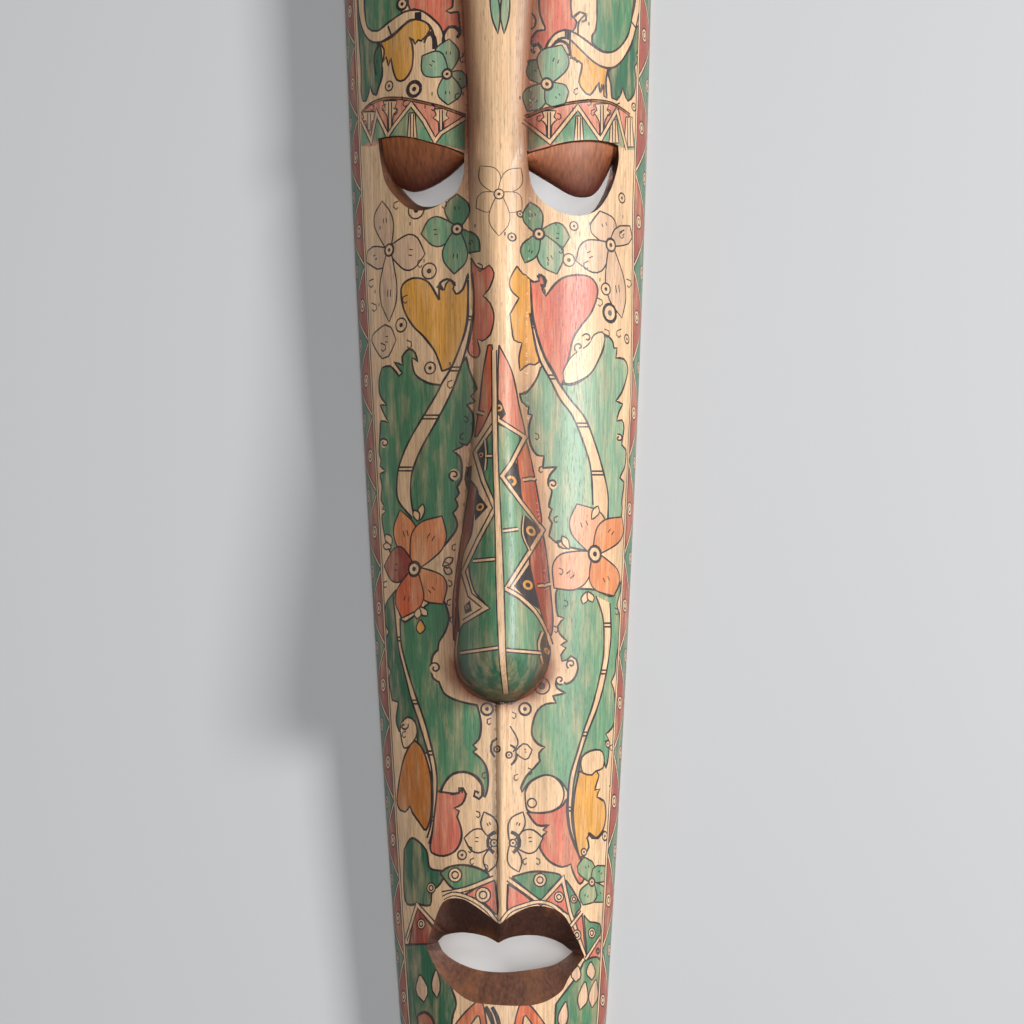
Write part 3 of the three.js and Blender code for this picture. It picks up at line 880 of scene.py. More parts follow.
NOSE_SECOND_LAYER = [
    (strap, sharp([(494, 424), (475, 452), (483, 480), (495, 508), (478, 540), (463, 572), (470, 595),
     (486, 608), (463, 622)]), 3.0),
    (strap, sharp([(498, 420), (525, 437), (511, 464), (502, 476), (521, 502), (543, 530), (529, 553),
     (506, 589)]), 3.0),
    (strap, [(506, 589), (520, 597), (535, 611), (545, 628), (551, 645)], 3.0),
    (strap, [(485, 440), (486, 455), (485, 470)], 2.0),
    (strap, [(524, 516), (523, 534), (530, 551)], 1.8),
    (strap, [(543, 632), (539, 645), (543, 664)], 2.4),
    (strap, [(458, 632), (456, 655), (460, 675), (470, 686)], 2.2),
]
lay_on(NOSE_SECOND_LAYER)
NOSE_BANDS = [
    ((473, 561), (496, 559)), ((460, 653), (503, 647)), ((505, 650), (541, 653)), ((523, 480), (536, 478)),
    ((538, 586), (551, 584)), ((486, 456), (494, 456)), ((503, 531), (518, 529)), ((477, 412), (484, 414)),
]
for left_end, right_end in NOSE_BANDS:
    strap([left_end, right_end], 2.4)
NOSE_THIRD_LAYER = [
    (vine, [(491.5, 350), (492.5, 449), (495, 529), (496, 586), (499, 655), (503, 694)], [(496.5, 350),
     (498, 449), (501.5, 529), (504, 586), (506, 655), (509, 694)], {"ink": 0.9}),
]
lay_on(NOSE_THIRD_LAYER)
print("Nose:", len(drawing), "pieces so far")

# %% Brow bands
BROW_LEFT_TOP = [(361, 114), (368, 106), (377, 101), (388, 98.5), (404, 99), (420, 102), (441, 107),
                 (466, 116)]
BROW_LEFT_FOOT = [(465, 151), (450, 147), (433, 143), (415, 139), (397, 137), (386, 138), (374, 146),
                  (362, 146)]
BROW_RIGHT_TOP = [
    (525, 117), (540, 111), (552, 107.5), (566, 104), (583, 101.5), (597, 101), (610, 103), (620, 108),
    (630, 115),
]
BROW_RIGHT_FOOT = [(632, 150), (618, 147), (612, 143), (600, 140), (580, 141), (560, 144), (545, 147),
                   (527, 152)]
fill([*BROW_LEFT_TOP, BROW_LEFT_TOP[-1], BROW_LEFT_FOOT[0], *BROW_LEFT_FOOT, BROW_LEFT_FOOT[-1],
      BROW_LEFT_TOP[0]], "coral light")
fill([*BROW_RIGHT_TOP, BROW_RIGHT_TOP[-1], BROW_RIGHT_FOOT[0], *BROW_RIGHT_FOOT, BROW_RIGHT_FOOT[-1],
      BROW_RIGHT_TOP[0]],
     "coral light")
BROW_GREENS = [
    [(361, 120), (371, 142), (361, 146)],
    [(372, 142), (377, 118), (387, 136), (380, 141)],
    [(388, 137), (394, 127), (411, 108), (424, 124), (434, 142), (410, 139)],
    [(436, 143), (442, 134), (465, 120), (465, 150)],
    [(526, 124), (549, 143), (527, 151)],
    [(552, 143), (578, 111), (600, 140), (575, 142)],
    [(602, 140), (617, 114), (626, 148), (612, 143)],
    [(628, 150), (632, 118), (636, 150)],
]
for points in BROW_GREENS:
    fill(sharp(points), "leaf")
BROW_POSTS = [
    (369, 112, 130), (390, 101, 131), (412, 113, 138), (441, 109, 134), (549, 111, 139), (579, 116, 141),
    (602, 104, 138), (614, 120, 143), (629, 117, 147),
]
for x, top, foot in BROW_POSTS:
    scallops = [(x - 7, top), (x - 5, top + 6), (x - 8, top + 9), (x - 8, top + 9), (x - 3, (top + foot) / 2),
                (x - 2, foot), (x + 2, foot), (x + 3, (top + foot) / 2), (x + 8, top + 9), (x + 8, top + 9),
                (x + 5, top + 6), (x + 7, top)]
    shape(scallops if top < 113 else sharp([(x - 3, top), (x - 5, foot), (x + 5, foot), (x + 3, top)]),
          "wood", 1.0)
    line([(x - 1.4, top + 1), (x - 1.4, foot - 1)], 0.9)
    line([(x + 1.4, top + 1), (x + 1.4, foot - 1)], 0.9)
BROW_MOTIFS = [
    (strap, sharp([(361, 120), (371, 141), (376.5, 113), (387.5, 136), (394, 126), (411, 104), (424, 121),
     (435, 141), (441, 133), (465, 118)]), 3.0),
    (strap, sharp([(523, 121), (550, 142), (578, 107), (600.5, 140), (617, 110), (627, 150)]), 3.0),
]
lay_on(BROW_MOTIFS)
for top_line in (BROW_LEFT_TOP, BROW_RIGHT_TOP):
    strap(top_line, 1.6, "brow line", 0.8)
print("Brows:", len(drawing), "pieces so far")

# %% Forehead, left of the column
LEFT_FOREHEAD_MOTIFS = [
    (shape, [(357, -60), (357, 0), (359, 40), (361, 70), (361, 90), (363, 101), (366, 101), (369, 92),
     [370, 86], (373, 94), (376, 95), (379, 86), (382, 70), (380, 45), (372, 40), (364, 20), (364, -60)],
     "deep green"),
    (shape, [(365, -60), (365, 10), (368, 28), (377, 31), (389, 24), (402, 13), (398, 6), (400, -2),
     (404, -60)], "green"),
    (shape, [(409, -60), (408, 4), (414, 9), (424, 13), (434, 22), (442, 33), (446, 30), (452, 26),
     (458, 28), [461, 34], (459, 20), (458, 12), (451, 13), (446, 11), (451, 8), (453, -2), (451, -60)],
     "coral"),
    (shape, [(380, 43), (392, 37), (401, 28), (410, 21), (419, 19), (426, 22), (430, 29), [427, 35],
     (421, 41), (418, 40), (415, 44), (413, 40), [409, 37], (412, 44), (413, 56), (411, 70), (404, 80),
     (397, 80), (393, 70), [391, 58], [388, 66], (386, 57), (383, 62), (384, 50)], "ochre"),
    (vine, [(358, -60), (358, 0), (361, 25), (369, 40), (380, 42), (392, 35), (401, 27), (410, 20),
     (420, 20), (429, 25), (434, 36), (435, 49)], [(364, -60), (364, 0), (365, 16), (368, 28), (377, 31),
     (389, 22), (404, 12), (414, 10), (422, 11), (432, 18), (441, 28), (445, 43)]),
    (line, [(418, 12), (418, 20)], 4.5),
    (line, [(388, 26), (391, 35)], 1.4),
    (line, [(427, 35), (431, 33), (434, 38), (435, 49)], 3.6),
    (line, [(443, 43), (444, 34), (449, 27), (455, 27), (460, 33), (457, 38)], 2.2),
    (line, [(424, 43), (427, 36), (432, 34)], 1.6),
    (line, [(382, 67), (382, 76), (379, 86), (376, 95)], 2.2),
    (line, [(379, 45), (375, 52), (374, 62), (376, 75)], 1.8),
    (ring, 402, 4, 6, {"width": 2.0}),
    (ring, 389, 86, 5),
    (ring, 414, 89, 7.5, {"width": 2.6}),
    (flower, (447, 74), [((449, 39), 25), ((422, 56), 28), ((467, 85), 22), ((448, 105), 24)], "pale green",
     5),
    (hooks, (384, 108), (395, 112), (457, 97), (433, 108), (405, 104), (372, 108), (462, 60), {"size": 4}),
    (ticks, (463, 53), (463, 92), (432, 92), (425, 105), (402, 96), (370, 60), (377, 60)),
]
lay_on(LEFT_FOREHEAD_MOTIFS)

# %% Forehead, right of the column
RIGHT_FOREHEAD_MOTIFS = [
    (shape, [(635, -60), (634, 0), (632, 18), (640, 30), (640, 44), [636, 55], (639, 60), (635, 66),
     (636, 80), (634, 94), (628, 101), (624, 92), [623, 88], (620, 96), (617, 100), (612, 98), (611, 84),
     (608, 72), (614, 66), (624, 56), (634, 34), (640, -60)], "deep green"),
    (shape, [(596, -60), (597, 20), (592, 36), (592, 42), (602, 51), (612, 52), (620, 47), (628, 35),
     (632, 18), (634, -60)], "green"),
    (shape, [(539, -60), (539, 4), (542, 20), (545, 27), (545, 30), (537, 31), (532, 38), (531, 44),
     (537, 44), (541, 50), (543, 56), (547, 44), (555, 34), (565, 30), (573, 31), (577, 22), (574, 18),
     (571, 8), (569, -60)], "coral"),
    (shape, [(570, 40), (578, 46), (586, 53), (596, 62), [608, 69], (606, 82), [607, 98], (604, 96),
     (604, 84), (601, 92), [598, 84], (590, 95), (583, 90), (579, 82), (581, 72), (582, 64), (576, 60),
     (572, 58), (570, 50)], "ochre"),
    (vine, [(544, 54), (548, 43), (555, 34), (565, 30), (575, 33), (587, 41), (596, 48), (603, 52),
     (612, 52), (620, 47), (628, 35), (632, 18), (636, -4), (638, -60)], [(549, 56), (553, 45), (559, 39),
     (567, 38), (574, 43), (584, 53), (594, 62), (603, 67), (612, 68), (620, 63), (628, 51), (634, 36),
     (638, 18), (641, -4), (643, -60)]),
    (line, [(568, 31), (568, 39)], 4.5),
    (line, [(631, 21), (636, 28)], 1.4),
    (line, [(543, 57), (542, 50), (538, 44), (533, 46), (532, 51), (535, 53)], 2.6),
    (line, [(548, 54), (554, 44), (561, 41), (568, 45), (570, 55), (565, 54)], 2.2),
    (line, [(570, 58), (575, 58), (577, 62), (580, 61)], 1.6),
    (line, [(573, 18), (580, 12), (586, 14), (586, 20), (582, 22)], 1.8),
    (line, [(586, 14), (579, 22), (578, 34)], 1.3),
    (line, [(532, 13), (536, 20), (535, 26), (531, 29)], 1.4),
    (flower, (547, 84), [((530, 60), 24, "leaf"), ((562, 45), 32), ((527, 111), 24), ((565, 104), 27)],
     "pale green", 6),
    (ring, 634, 107, 4),
    (line, [(599, 82), (600, 93), (602, 84)], 1.2),
    (hooks, (539, 119), (559, 117), (593, 113), (609, 113), (576, 92), (589, 103), (618, 107),
     {"size": 4}),
    (ticks, (573, 108), (520, 96), (594, 104), (589, 22), (528, 60)),
]
lay_on(RIGHT_FOREHEAD_MOTIFS)

# %% Leaves on the column
COLUMN_LEAVES = [(492, 498), (507, 504)]
COLUMN_LEAF_FOOT, COLUMN_LEAF_TIP = -26, 34
for x, tip_x in COLUMN_LEAVES:
    petal((x, COLUMN_LEAF_FOOT), (tip_x, COLUMN_LEAF_TIP), 9, "pale green", marks=False)

# %% Below the nose
BELOW_NOSE_FIRST_LAYER = [
    (shape, [(413, 740), (420, 745), (426, 758), (431, 780), (431, 812), (426, 830), (419, 822), (412, 812),
     [410, 806], (405, 812), (400, 810), (397, 800), (400, 775), (405, 755)], "flame ochre"),
    (shape, [(400, 730), (402, 722), (408, 717), (415, 722), (417, 733), (413, 742), (404, 748)], "wood",
     1.3),
    (curl, 404, 726, 4.5, 330, 330),
    (shape, [(437, 791), (449, 793), (458, 793), (463, 788), (466, 794), (462, 804), [454, 808], [459, 811],
     [457, 817], (461, 828), (461, 840), (455, 851), (444, 856), (434, 854), (430, 848), (433, 826)],
     "coral"),
    (line, [(440, 793), (445, 782), (453, 774), (464, 772), (475, 776), (482, 785), (483, 795), (479, 799),
     (474, 796), (475, 791), (479, 793)], 1.9),
    (line, [(462, 793), (463, 788), (459, 788), (459, 793), (450, 794)], 1.6),
    (shape, [(525, 792), (531, 782), (546, 775), (558, 780), (564, 792), (560, 806), (545, 813), (530, 812),
     (526, 806)], "wood", 1.2),
    (shape, [(527, 812), (540, 813), (553, 811), (563, 805), (567, 799), (567, 815), (571, 836), (579, 856),
     (585, 874), (580, 884), (573, 872), [571, 864], (562, 867), (549, 861), (540, 848), (541, 838),
     [547, 832], (543, 830), [549, 825], (537, 825)], "coral"),
    (ring, 532, 803, 4.5, {"dot": 0}),
    (shape, [(579, 771), (590, 774), (596, 770), (599, 775), (595, 790), [600, 789], (597, 797), (604, 801),
     (606, 815), (603, 830), (596, 838), (590, 833), (587, 838), (589, 847), (580, 857), (574, 828),
     (574, 799)], "ochre"),
    (shape, [(581, 766), (582, 757), (590, 751), (600, 750), (604, 756), (603, 768), (596, 771), (592, 775),
     (583, 773)], "wood", 1.3),
    (line, [(588, 833), (592, 838), (598, 838), (604, 830)], 1.8),
]
lay_on(BELOW_NOSE_FIRST_LAYER)
EYES_OVER_THE_MOUTH = [(462, 855, 4.5), (605, 836, 4.5), (584, 852, 3.5), (608, 744, 3.5)]
for x, y, size in EYES_OVER_THE_MOUTH:
    ring(x, y, size)
BELOW_NOSE_SECOND_LAYER = [
    (line, [(497, 738), (492, 742), (491, 751), (495, 757)], 1.6),
    (ring, 497, 749, 3.0),
    (line, [(510, 745), (516, 749), (516, 759), (511, 765)], 1.6),
    (ring, 509, 755, 3.0),
    (petal, (516, 752), (532, 750), 16, "wood"),
    (line, [(510, 726), (516, 736), (518, 744), (513, 752)], 1.0),
]
lay_on(BELOW_NOSE_SECOND_LAYER)
LIP_FLOWERS = [(-1, 496), (1, 511)]
LIP_FLOWER_Y = 842
for side, x in LIP_FLOWERS:
    petal((x, LIP_FLOWER_Y), (x + side * 32, LIP_FLOWER_Y - 4), 24, "wood")
    petal((x, LIP_FLOWER_Y), (x + side * 12, LIP_FLOWER_Y - 30), 16, "wood")
    petal((x, LIP_FLOWER_Y + 2), (x + side * 8, LIP_FLOWER_Y + 30), 14, "wood", marks=False)
    line([(x, LIP_FLOWER_Y - 10), (x + side * 7, LIP_FLOWER_Y - 6), (x + side * 8, LIP_FLOWER_Y + 4),
          (x + side * 2, LIP_FLOWER_Y + 11)], 2.4)
    ring(x + side * 2, LIP_FLOWER_Y + 1, 3.5)
BELOW_NOSE_THIRD_LAYER = [
    (hooks, (484, 776), (478, 815), (472, 862), (486, 868), (516, 778), (530, 772), (525, 862), (538, 862),
     (489, 722), (514, 716), (612, 748), (611, 790), (392, 790), (470, 850), (404, 735), {"size": 4}),
    (flower, (592, 882), [((584, 857), 18, "leaf"), ((606, 866), 18, "leaf"), ((604, 902), 20, "leaf"),
     ((583, 905), 18, "leaf")], "leaf", 4),
]
lay_on(BELOW_NOSE_THIRD_LAYER)

# %% Round the mouth
MOUTH_FIRST_LAYER = [
    (shape, [(404, 850), (412, 838), (426, 850), (430, 868), (444, 872), (440, 884), (432, 892), (430, 905),
     (418, 904), (405, 900)], "deep green"),
    (shape, [(440, 873), (449, 867), (464, 865), (480, 869), (489, 876), (478, 883), (460, 890),
     (450, 886)], "green", 1.6),
    (shape, [(463, 896), (478, 887), (493, 880), (496, 890), (497, 914), (485, 904), (474, 898)], "coral"),
    (shape, [(512, 877), (530, 872), (546, 872), (561, 876), (550, 889), (542, 900), (526, 889)], "green",
     1.4),
    (shape, [(508, 884), (518, 890), (532, 902), (520, 905), (508, 912)], "coral"),
    (shape, [(561, 882), (552, 893), (545, 902), (557, 906), (569, 914), (566, 897)], "coral"),
    (shape, [(566, 880), (574, 892), (581, 906), (577, 912), (571, 920), (568, 904)], "green", 1.2),
    (shape, [(571, 924), (581, 913), (584, 935), (585, 955), (577, 950), (572, 938)], "coral"),
    (shape, [(584, 915), (590, 922), (600, 924), (599, 940), (588, 957), (586, 940)], "green", 1.2),
    (shape, [(588, 958), (600, 940), (600, 958)], "coral"),
    (shape, [(409, 944), (417, 908), (427, 920), (434, 932), (428, 944)], "dark red"),
    (shape, [(404, 945), (434, 945), (440, 958), (446, 972), (452, 990), (456, 1004), (452, 1020),
     (450, 1060), (430, 1075), (412, 1040), (406, 1000)], "deep green"),
    (shape, [(556, 1004), (562, 996), (574, 980), (582, 966), (586, 960), (600, 960), (600, 1000),
     (596, 1040), (580, 1072), (560, 1065), (555, 1040)], "green"),
]
lay_on(MOUTH_FIRST_LAYER)
CHIN_PETALS = [
    ((436, 970), (437, 998), 9), ((420, 975), (424, 1002), 12), ((578, 966), (576, 982), 10), ((591, 962),
    (592, 980), 9), ((585, 982), (580, 1010), 10), ((596, 980), (592, 1008), 9), ((566, 1002), (562, 1030),
    10),
]
for centre, tip, breadth in CHIN_PETALS:
    petal(centre, tip, breadth, "petal", marks=False)
MOUTH_SECOND_LAYER = [
    (strap, [(442, 894), (466, 889), (494, 878)], 3.0),
    (strap, sharp([(508, 879), (541, 903), (563, 879), (570, 912), (586, 959)]), 2.8),
    (strap, sharp([(571, 926), (582, 912)]), 2.4),
    (strap, sharp([(586, 959), (600, 937)]), 2.4),
    (strap, sharp([(406, 940), (417, 905), (435, 925)]), 2.8),
    (strap, [(443, 898), (452, 894), (464, 896), (478, 903), (489, 912), (497, 922)], 2.4, {"ink": 0.8}),
    (strap, [(501, 922), (510, 911), (522, 906), (538, 902), (552, 905), (563, 914)], 2.4, {"ink": 0.8}),
]
lay_on(MOUTH_SECOND_LAYER)
MOUTH_EYES = [
    (455, 875, 7), (483, 895, 7.5), (540, 880, 6.5), (559, 897, 5), (431, 888, 5), (421, 924, 5),
    (577, 935, 5), (592, 933, 5), (574, 899, 4), (598, 951, 3),
]
for x, y, size in MOUTH_EYES:
    double_ring(x, y, size)
MOUTH_THIRD_LAYER = [
    (line, [(485, 1007), (490, 1015), (494, 1030), (497, 1060)], 3.2),
    (line, [(492, 1007), (498, 1020), (502, 1045)], 2.6),
]
lay_on(MOUTH_THIRD_LAYER)

# %% Chin, past the photograph's edge
CHIN_LEAVES = [(-1, 500), (1, 503)]
CHIN_LEAF_Y = 1002
for side, x in CHIN_LEAVES:
    petal((x + side * 20, CHIN_LEAF_Y), (x + side * 34, CHIN_LEAF_Y + 60), 34, "flame", marks=False)
    petal((x + side * 22, CHIN_LEAF_Y + 14), (x + side * 32, CHIN_LEAF_Y + 48), 14, "wood", marks=False)
CHIN_MOTIFS = [
    (shape, [(417, 1016), (424, 1012), (432, 1018), (436, 1035), (430, 1050), (420, 1038)], "dark red",
     2.0),
]
lay_on(CHIN_MOTIFS)
print("Mouth and chin:", len(drawing), "pieces so far")

# %% [markdown]
# ## Crown, beyond what the photograph shows
#
# The photograph stops above the brows. The ornament goes on in the same hand to the crown, a little
# plainer: the vines climb on and roll up, leaf fields follow them, and each side has one heart and one
# flower.

# %% Crown
MIDDLE_X = 501  # the pixel that the mask's middle line shows at up here


# Pixels out from the middle line, and down from the photograph's top edge, for one side of the crown
CROWN_FIELD = cornered([
    (143, -60), (147, -120), (140, -180), (128, -226), (112, -262), (104, -250), [108, -232], (100, -228),
    [104, -206], (96, -204), [101, -180], (94, -176), [97, -150], (90, -148), (94, -120), (94, -60),
])
CROWN_VINE_OUTER = [
    (143, -60), (138, -110), (124, -150), (104, -168), (84, -168), (72, -154), (72, -138), (82, -130),
]
CROWN_VINE_INNER = [
    (137, -60), (132, -106), (120, -140), (103, -156), (88, -157), (79, -148), (80, -140), (86, -137),
]
CROWN_CORAL = cornered([
    (91, -60), (92, -92), (84, -112), (70, -116), (60, -104), (58, -88), [50, -84], (54, -76), (51, -60),
])
CROWN_HEART = cornered([
    (60, -250), (72, -262), (86, -256), (92, -240), (86, -218), (72, -196), (62, -180), (56, -196),
    (50, -216), (50, -240), [56, -250],
])
CROWN_FLOWER = (116, -112)
CROWN_FLOWER_TIPS = [(132, -134), (98, -132), (130, -88), (100, -88)]
CROWN_PETAL_BREADTH = 22
CROWN_EYES = [(72, -178, 6), (84, -284, 7), (60, -284, 6), (108, -284, 5), (62, -136, 6), (46, -262, 5)]
CROWN_CURL = (84, -132)
CROWN_TICKS = [(50, -160), (54, -212), (96, -270), (75, -310), (48, -120)]


def crown_side(side):
    """One side of the forehead above the photograph, mirrored by side."""
    def at(points):
        return [(MIDDLE_X + side * x, y) for x, y in points]

    shape(at(CROWN_FIELD), "green")
    vine(at(CROWN_VINE_OUTER), at(CROWN_VINE_INNER))
    shape(at(CROWN_CORAL), "coral")
    shape(at(CROWN_HEART), "ochre" if side < 0 else "coral")
    centre = at([CROWN_FLOWER])[0]
    flower(centre, [(tip, CROWN_PETAL_BREADTH) for tip in at(CROWN_FLOWER_TIPS)], "pale green", 5.5)
    for x, y, size in CROWN_EYES:
        ring(MIDDLE_X + side * x, y, size)
    curl_x, curl_y = at([CROWN_CURL])[0]
    curl(curl_x, curl_y, 6, 0 if side > 0 else 180, 380 * side)
    ticks(*at(CROWN_TICKS), length=5)


for side in (-1, 1):
    crown_side(side)
CROWN_MOTIFS = [
    (strap, [(452, -308), (480, -322), (MIDDLE_X, -326), (522, -322), (550, -308)], 3.0),
]
lay_on(CROWN_MOTIFS)
CROWN_EYE_PLACES = [476, MIDDLE_X, 526]
CROWN_EYE_Y = -336
for x in CROWN_EYE_PLACES:
    ring(x, CROWN_EYE_Y, 4)
print("Crown:", len(drawing), "pieces so far")

# %% Zigzag borders down both sides
LEFT_BORDER = ([-476, -450, -300, 425, 462],
               [9, 28, 31, 31, 7])  # heights, and how far in from the rim it reaches
RIGHT_BORDER = ([-476, -450, -20, 100, 425, 462], [9, 26, 26, 34, 34, 7])
RIM_STRIP = 3.0
BORDERS = [
    {"side": -1, "breadth": LEFT_BORDER, "touch": 113, "period": 52},
    {"side": 1, "breadth": RIGHT_BORDER, "touch": 59, "period": 66},
]
BORDER_FROM, BORDER_TO = -476, 462


def border_edge(breadth, y, share):
    """Skin place of the border at y: share 0 at its inner line, 1 at its outer one."""
    inner = np.minimum(np.interp(y, *breadth), 0.34 * half_width(y))
    return QUARTER * half_width(y) - inner + (inner - RIM_STRIP) * share


def zigzag_border(side, breadth, touch, period):
    """Coral triangles on the inner line and green ones on the rim, each with an eye, a strap between."""
    def at(share, y):
        return np.array([side * border_edge(breadth, y, share), y])

    ys = np.arange(BORDER_FROM, BORDER_TO + 1, 8.0)
    whole = np.vstack([[at(0, y) for y in ys], [at(1, y) for y in ys[::-1]]])
    stain(whole, "border green")
    first = touch - period * math.floor((touch - BORDER_FROM) / period)
    turns = []
    y = first
    while y + period <= BORDER_TO:
        top, middle = y + period, y + period / 2
        steps = np.linspace(0, 1, 7)
        inner = [at(0, y + period * s) for s in steps]
        outer = [at(1 - abs(2 * s - 1), y + period * s) for s in steps[::-1]]
        stain(np.array(inner + outer[1:-1]), "border coral")
        turns += [at(0, y), at(1, middle)]
        reach = abs(at(1, middle)[0] - at(0, middle)[0])
        double_ring_on_skin(at(0.3, middle), min(4.8, reach * 0.2))
        if top + period / 2 <= BORDER_TO:
            double_ring_on_skin(at(0.68, top), min(5.0, reach * 0.2))
        y = top
    turns.append(at(0, y))
    path = evened(np.array(turns))
    strap_on_skin(path, 2.4)
    strap_on_skin(np.array([at(0, y) for y in ys]), 2.6)
    pen(np.array([at(1, y) for y in ys]), THIN_INK)


for border in BORDERS:
    zigzag_border(**border)
print("The whole drawing has", len(drawing), "pieces")

# %% [markdown]
# ## One skin from the drawing
#
# Now the flat drawing becomes the front of the mesh. A constrained Delaunay triangulation takes all the
# polygons, the outline and the three holes, and cuts the plane into triangles that never cross a line.
# Extra points spread between them follow the curve of the wood, and rows of points along the foot of the
# nose keep that edge crisp. Each triangle knows which polygons cover it, so the last one drawn gives its
# stain, and there is no picture to blur.

# %% The mouth, cut through with a wide bevel
LIP_CURVES = [
    [(-51, -400), (-46, -386), (-39, -371), (-28, -369), (-18, -374), (-2, -386)],
    [(-2, -386), (8, -379), (19, -374.5), (30, -375), (40, -380), (47, -392), (54, -407)],
    [(54, -407), (44, -420), (37, -431), (20, -438.5), (-9, -438), (-25, -434), (-41, -419), (-51, -400)],
]
HOLE_CURVES = [
    [(-43, -396.5), (-38, -392.5), (-26, -391), (-12, -393.5), (-3, -398)],
    [(-3, -398), (5, -394.5), (16, -393), (27, -394), (38, -398), (46, -404)],
    [(46, -404), (40, -409), (30, -413.5), (5, -417), (-14, -416), (-29, -411), (-39, -404), (-43, -396.5)],
]
mouth_loop = np.vstack([spline(curve, EDGE_STEP)[:-1] for curve in LIP_CURVES])


def evenly(points, count):
    """That many places spaced evenly along a smooth curve, both ends included."""
    fine = spline(points, 0.3)
    run = np.concatenate([[0], np.cumsum(np.hypot(*np.diff(fine, axis=0).T))])
    return np.column_stack([np.interp(np.linspace(0, run[-1], count), run, fine[:, i]) for i in (0, 1)])


def behind_mouth(x, y):
    """Where the bevel that starts at a place on the lip's edge ends behind it."""
    count = 120
    outer = np.vstack([evenly(curve, count) for curve in LIP_CURVES])
    inner = np.vstack([evenly(curve, count) for curve in HOLE_CURVES])
    nearest = np.argmin(np.hypot(outer[:, 0][None] - x[:, None], outer[:, 1][None] - y[:, None]), axis=1)
    return inner[nearest, 0], inner[nearest, 1]


def behind_eye(eye):
    """How an eye's edge moves in towards the back of the wall: a little narrower, and shorter below."""
    inner_x, brow_y = eye["brow"][-1]
    narrow = 1 - eye["narrowing"] / abs(eye["brow"][0][0] - inner_x)
    shorten = 1 - eye["shortening"] / (brow_y - min(y for _, y in eye["hole"]))

    def behind(x, y):
        return inner_x + (x - inner_x) * narrow, np.where(y < brow_y, brow_y + (y - brow_y) * shorten, y)

    return behind


HOLES = [(EYES[0]["loop"], behind_eye(EYES[0])), (EYES[1]["loop"], behind_eye(EYES[1])),
         (mouth_loop, behind_mouth)]
print("Three holes go through the wall")

# %% Points that carry the form
FACE_STEP = 5.5  # mm between plain points
SIDE_POINTS = 4.0  # mm along the two long edges
CHIN_STEPS = 20
CROWN_STEPS = 34
FLANK_SHARES = [0.55, 0.72, 0.84, 0.92, 0.965, 0.99, 1.0]  # lines up the nose's flank, dense at its foot
BULB_LEVELS = [0.3, 0.5, 0.66, 0.78, 0.88, 0.95, 0.985, 1.0]


def rows(inset):
    """Places along the mask for its outline: even in the middle, closing up into the rounded ends."""
    def end(steps):
        return np.sin(np.arange(1, steps + 1) / steps * math.pi / 2) ** (2 / END_POWER)

    chin = CHIN_Y + CHIN_ROUND - end(CHIN_STEPS)[::-1] * (CHIN_ROUND - inset)
    crown = CROWN_Y - CROWN_ROUND + end(CROWN_STEPS) * (CROWN_ROUND - inset)
    middle = np.linspace(CHIN_Y + CHIN_ROUND, CROWN_Y - CROWN_ROUND,
                         int((LENGTH - CHIN_ROUND - CROWN_ROUND) / SIDE_POINTS))
    return np.concatenate([chin, middle, crown])


def outline(half_at, inset):
    ys = rows(inset)
    right_side = np.column_stack([half_at(ys), ys])
    left_side = np.column_stack([-half_at(ys[1:-1]), ys[1:-1]])[::-1]
    return np.vstack([right_side, left_side])


def spread(half_at, step_across, step_along, inset):
    """Plain points all over a skin, in staggered rows a little inside its outline."""
    places = []
    ys = np.arange(CHIN_Y + inset + 0.5, CROWN_Y - inset, step_along)
    for row, y in enumerate(ys):
        reach = half_at(np.array([y]))[0] - 1.0
        count = int(reach / step_across)
        if count > 0:
            offset = (row % 2) / 2
            places.append(np.column_stack([(np.arange(-count, count) + offset) * reach / count,
                                           np.full(2 * count, y)]))
    return np.vstack(places)


def ridge_lines():
    """Lines along the ridge's flanks, down to where the bulb starts to close, and rings round the bulb."""
    found = []
    ys = np.arange(NOSE_BULB_Y, CROWN_Y - CROWN_ROUND + 40, 3.0)
    for share in FLANK_SHARES:
        for side in (-1, 1):
            x = side * share * middle_half(ys)
            found.append(np.column_stack([to_skin(x, ys), ys]))
    turns = np.linspace(0, math.pi, 44)
    for level in BULB_LEVELS:
        x = NOSE_BULB_RADIUS * math.sqrt(level) * np.cos(turns)
        y = NOSE_BULB_Y - NOSE_BULB_RADIUS * (level * np.sin(turns) ** 2) ** (1 / NOSE_UNDER_POWER)
        found.append(np.column_stack([to_skin(x, y), y]))
    philtrum = np.arange(PHILTRUM_END_Y, NOSE_UNDER_Y, 3.0)
    for x in (-PHILTRUM_HALF_WIDTH, -2.6, 0, 2.6, PHILTRUM_HALF_WIDTH):
        found.append(np.column_stack([to_skin(np.full_like(philtrum, x), philtrum), philtrum]))
    return found


def brow_lines():
    found = []
    for brow_line in BROW_LINES:
        for shift in (-GROOVE_HALF_WIDTH, 0, GROOVE_HALF_WIDTH):
            y = brow_line[:, 1] + shift
            found.append(np.column_stack([to_skin(brow_line[:, 0], y), y]))
    return found


# %% Triangulate a flat drawing
BLOCK = 4000  # places tested at a time


def inside(places, polygon):
    """Which places lie inside a polygon: a line to the right crosses its edge an odd number of times."""
    start, end = polygon, np.roll(polygon, -1, axis=0)
    rise = end[:, 1] - start[:, 1]
    lean = (end[:, 0] - start[:, 0]) / np.where(rise == 0, 1, rise)
    found = []
    for first in range(0, len(places), BLOCK):
        x, y = places[first:first + BLOCK, 0:1], places[first:first + BLOCK, 1:2]
        crosses = (start[:, 1] > y) != (end[:, 1] > y)
        crossed = crosses & (x < start[:, 0] + (y - start[:, 1]) * lean)
        found.append(crossed.sum(axis=1) % 2 == 1)
    return np.concatenate(found)


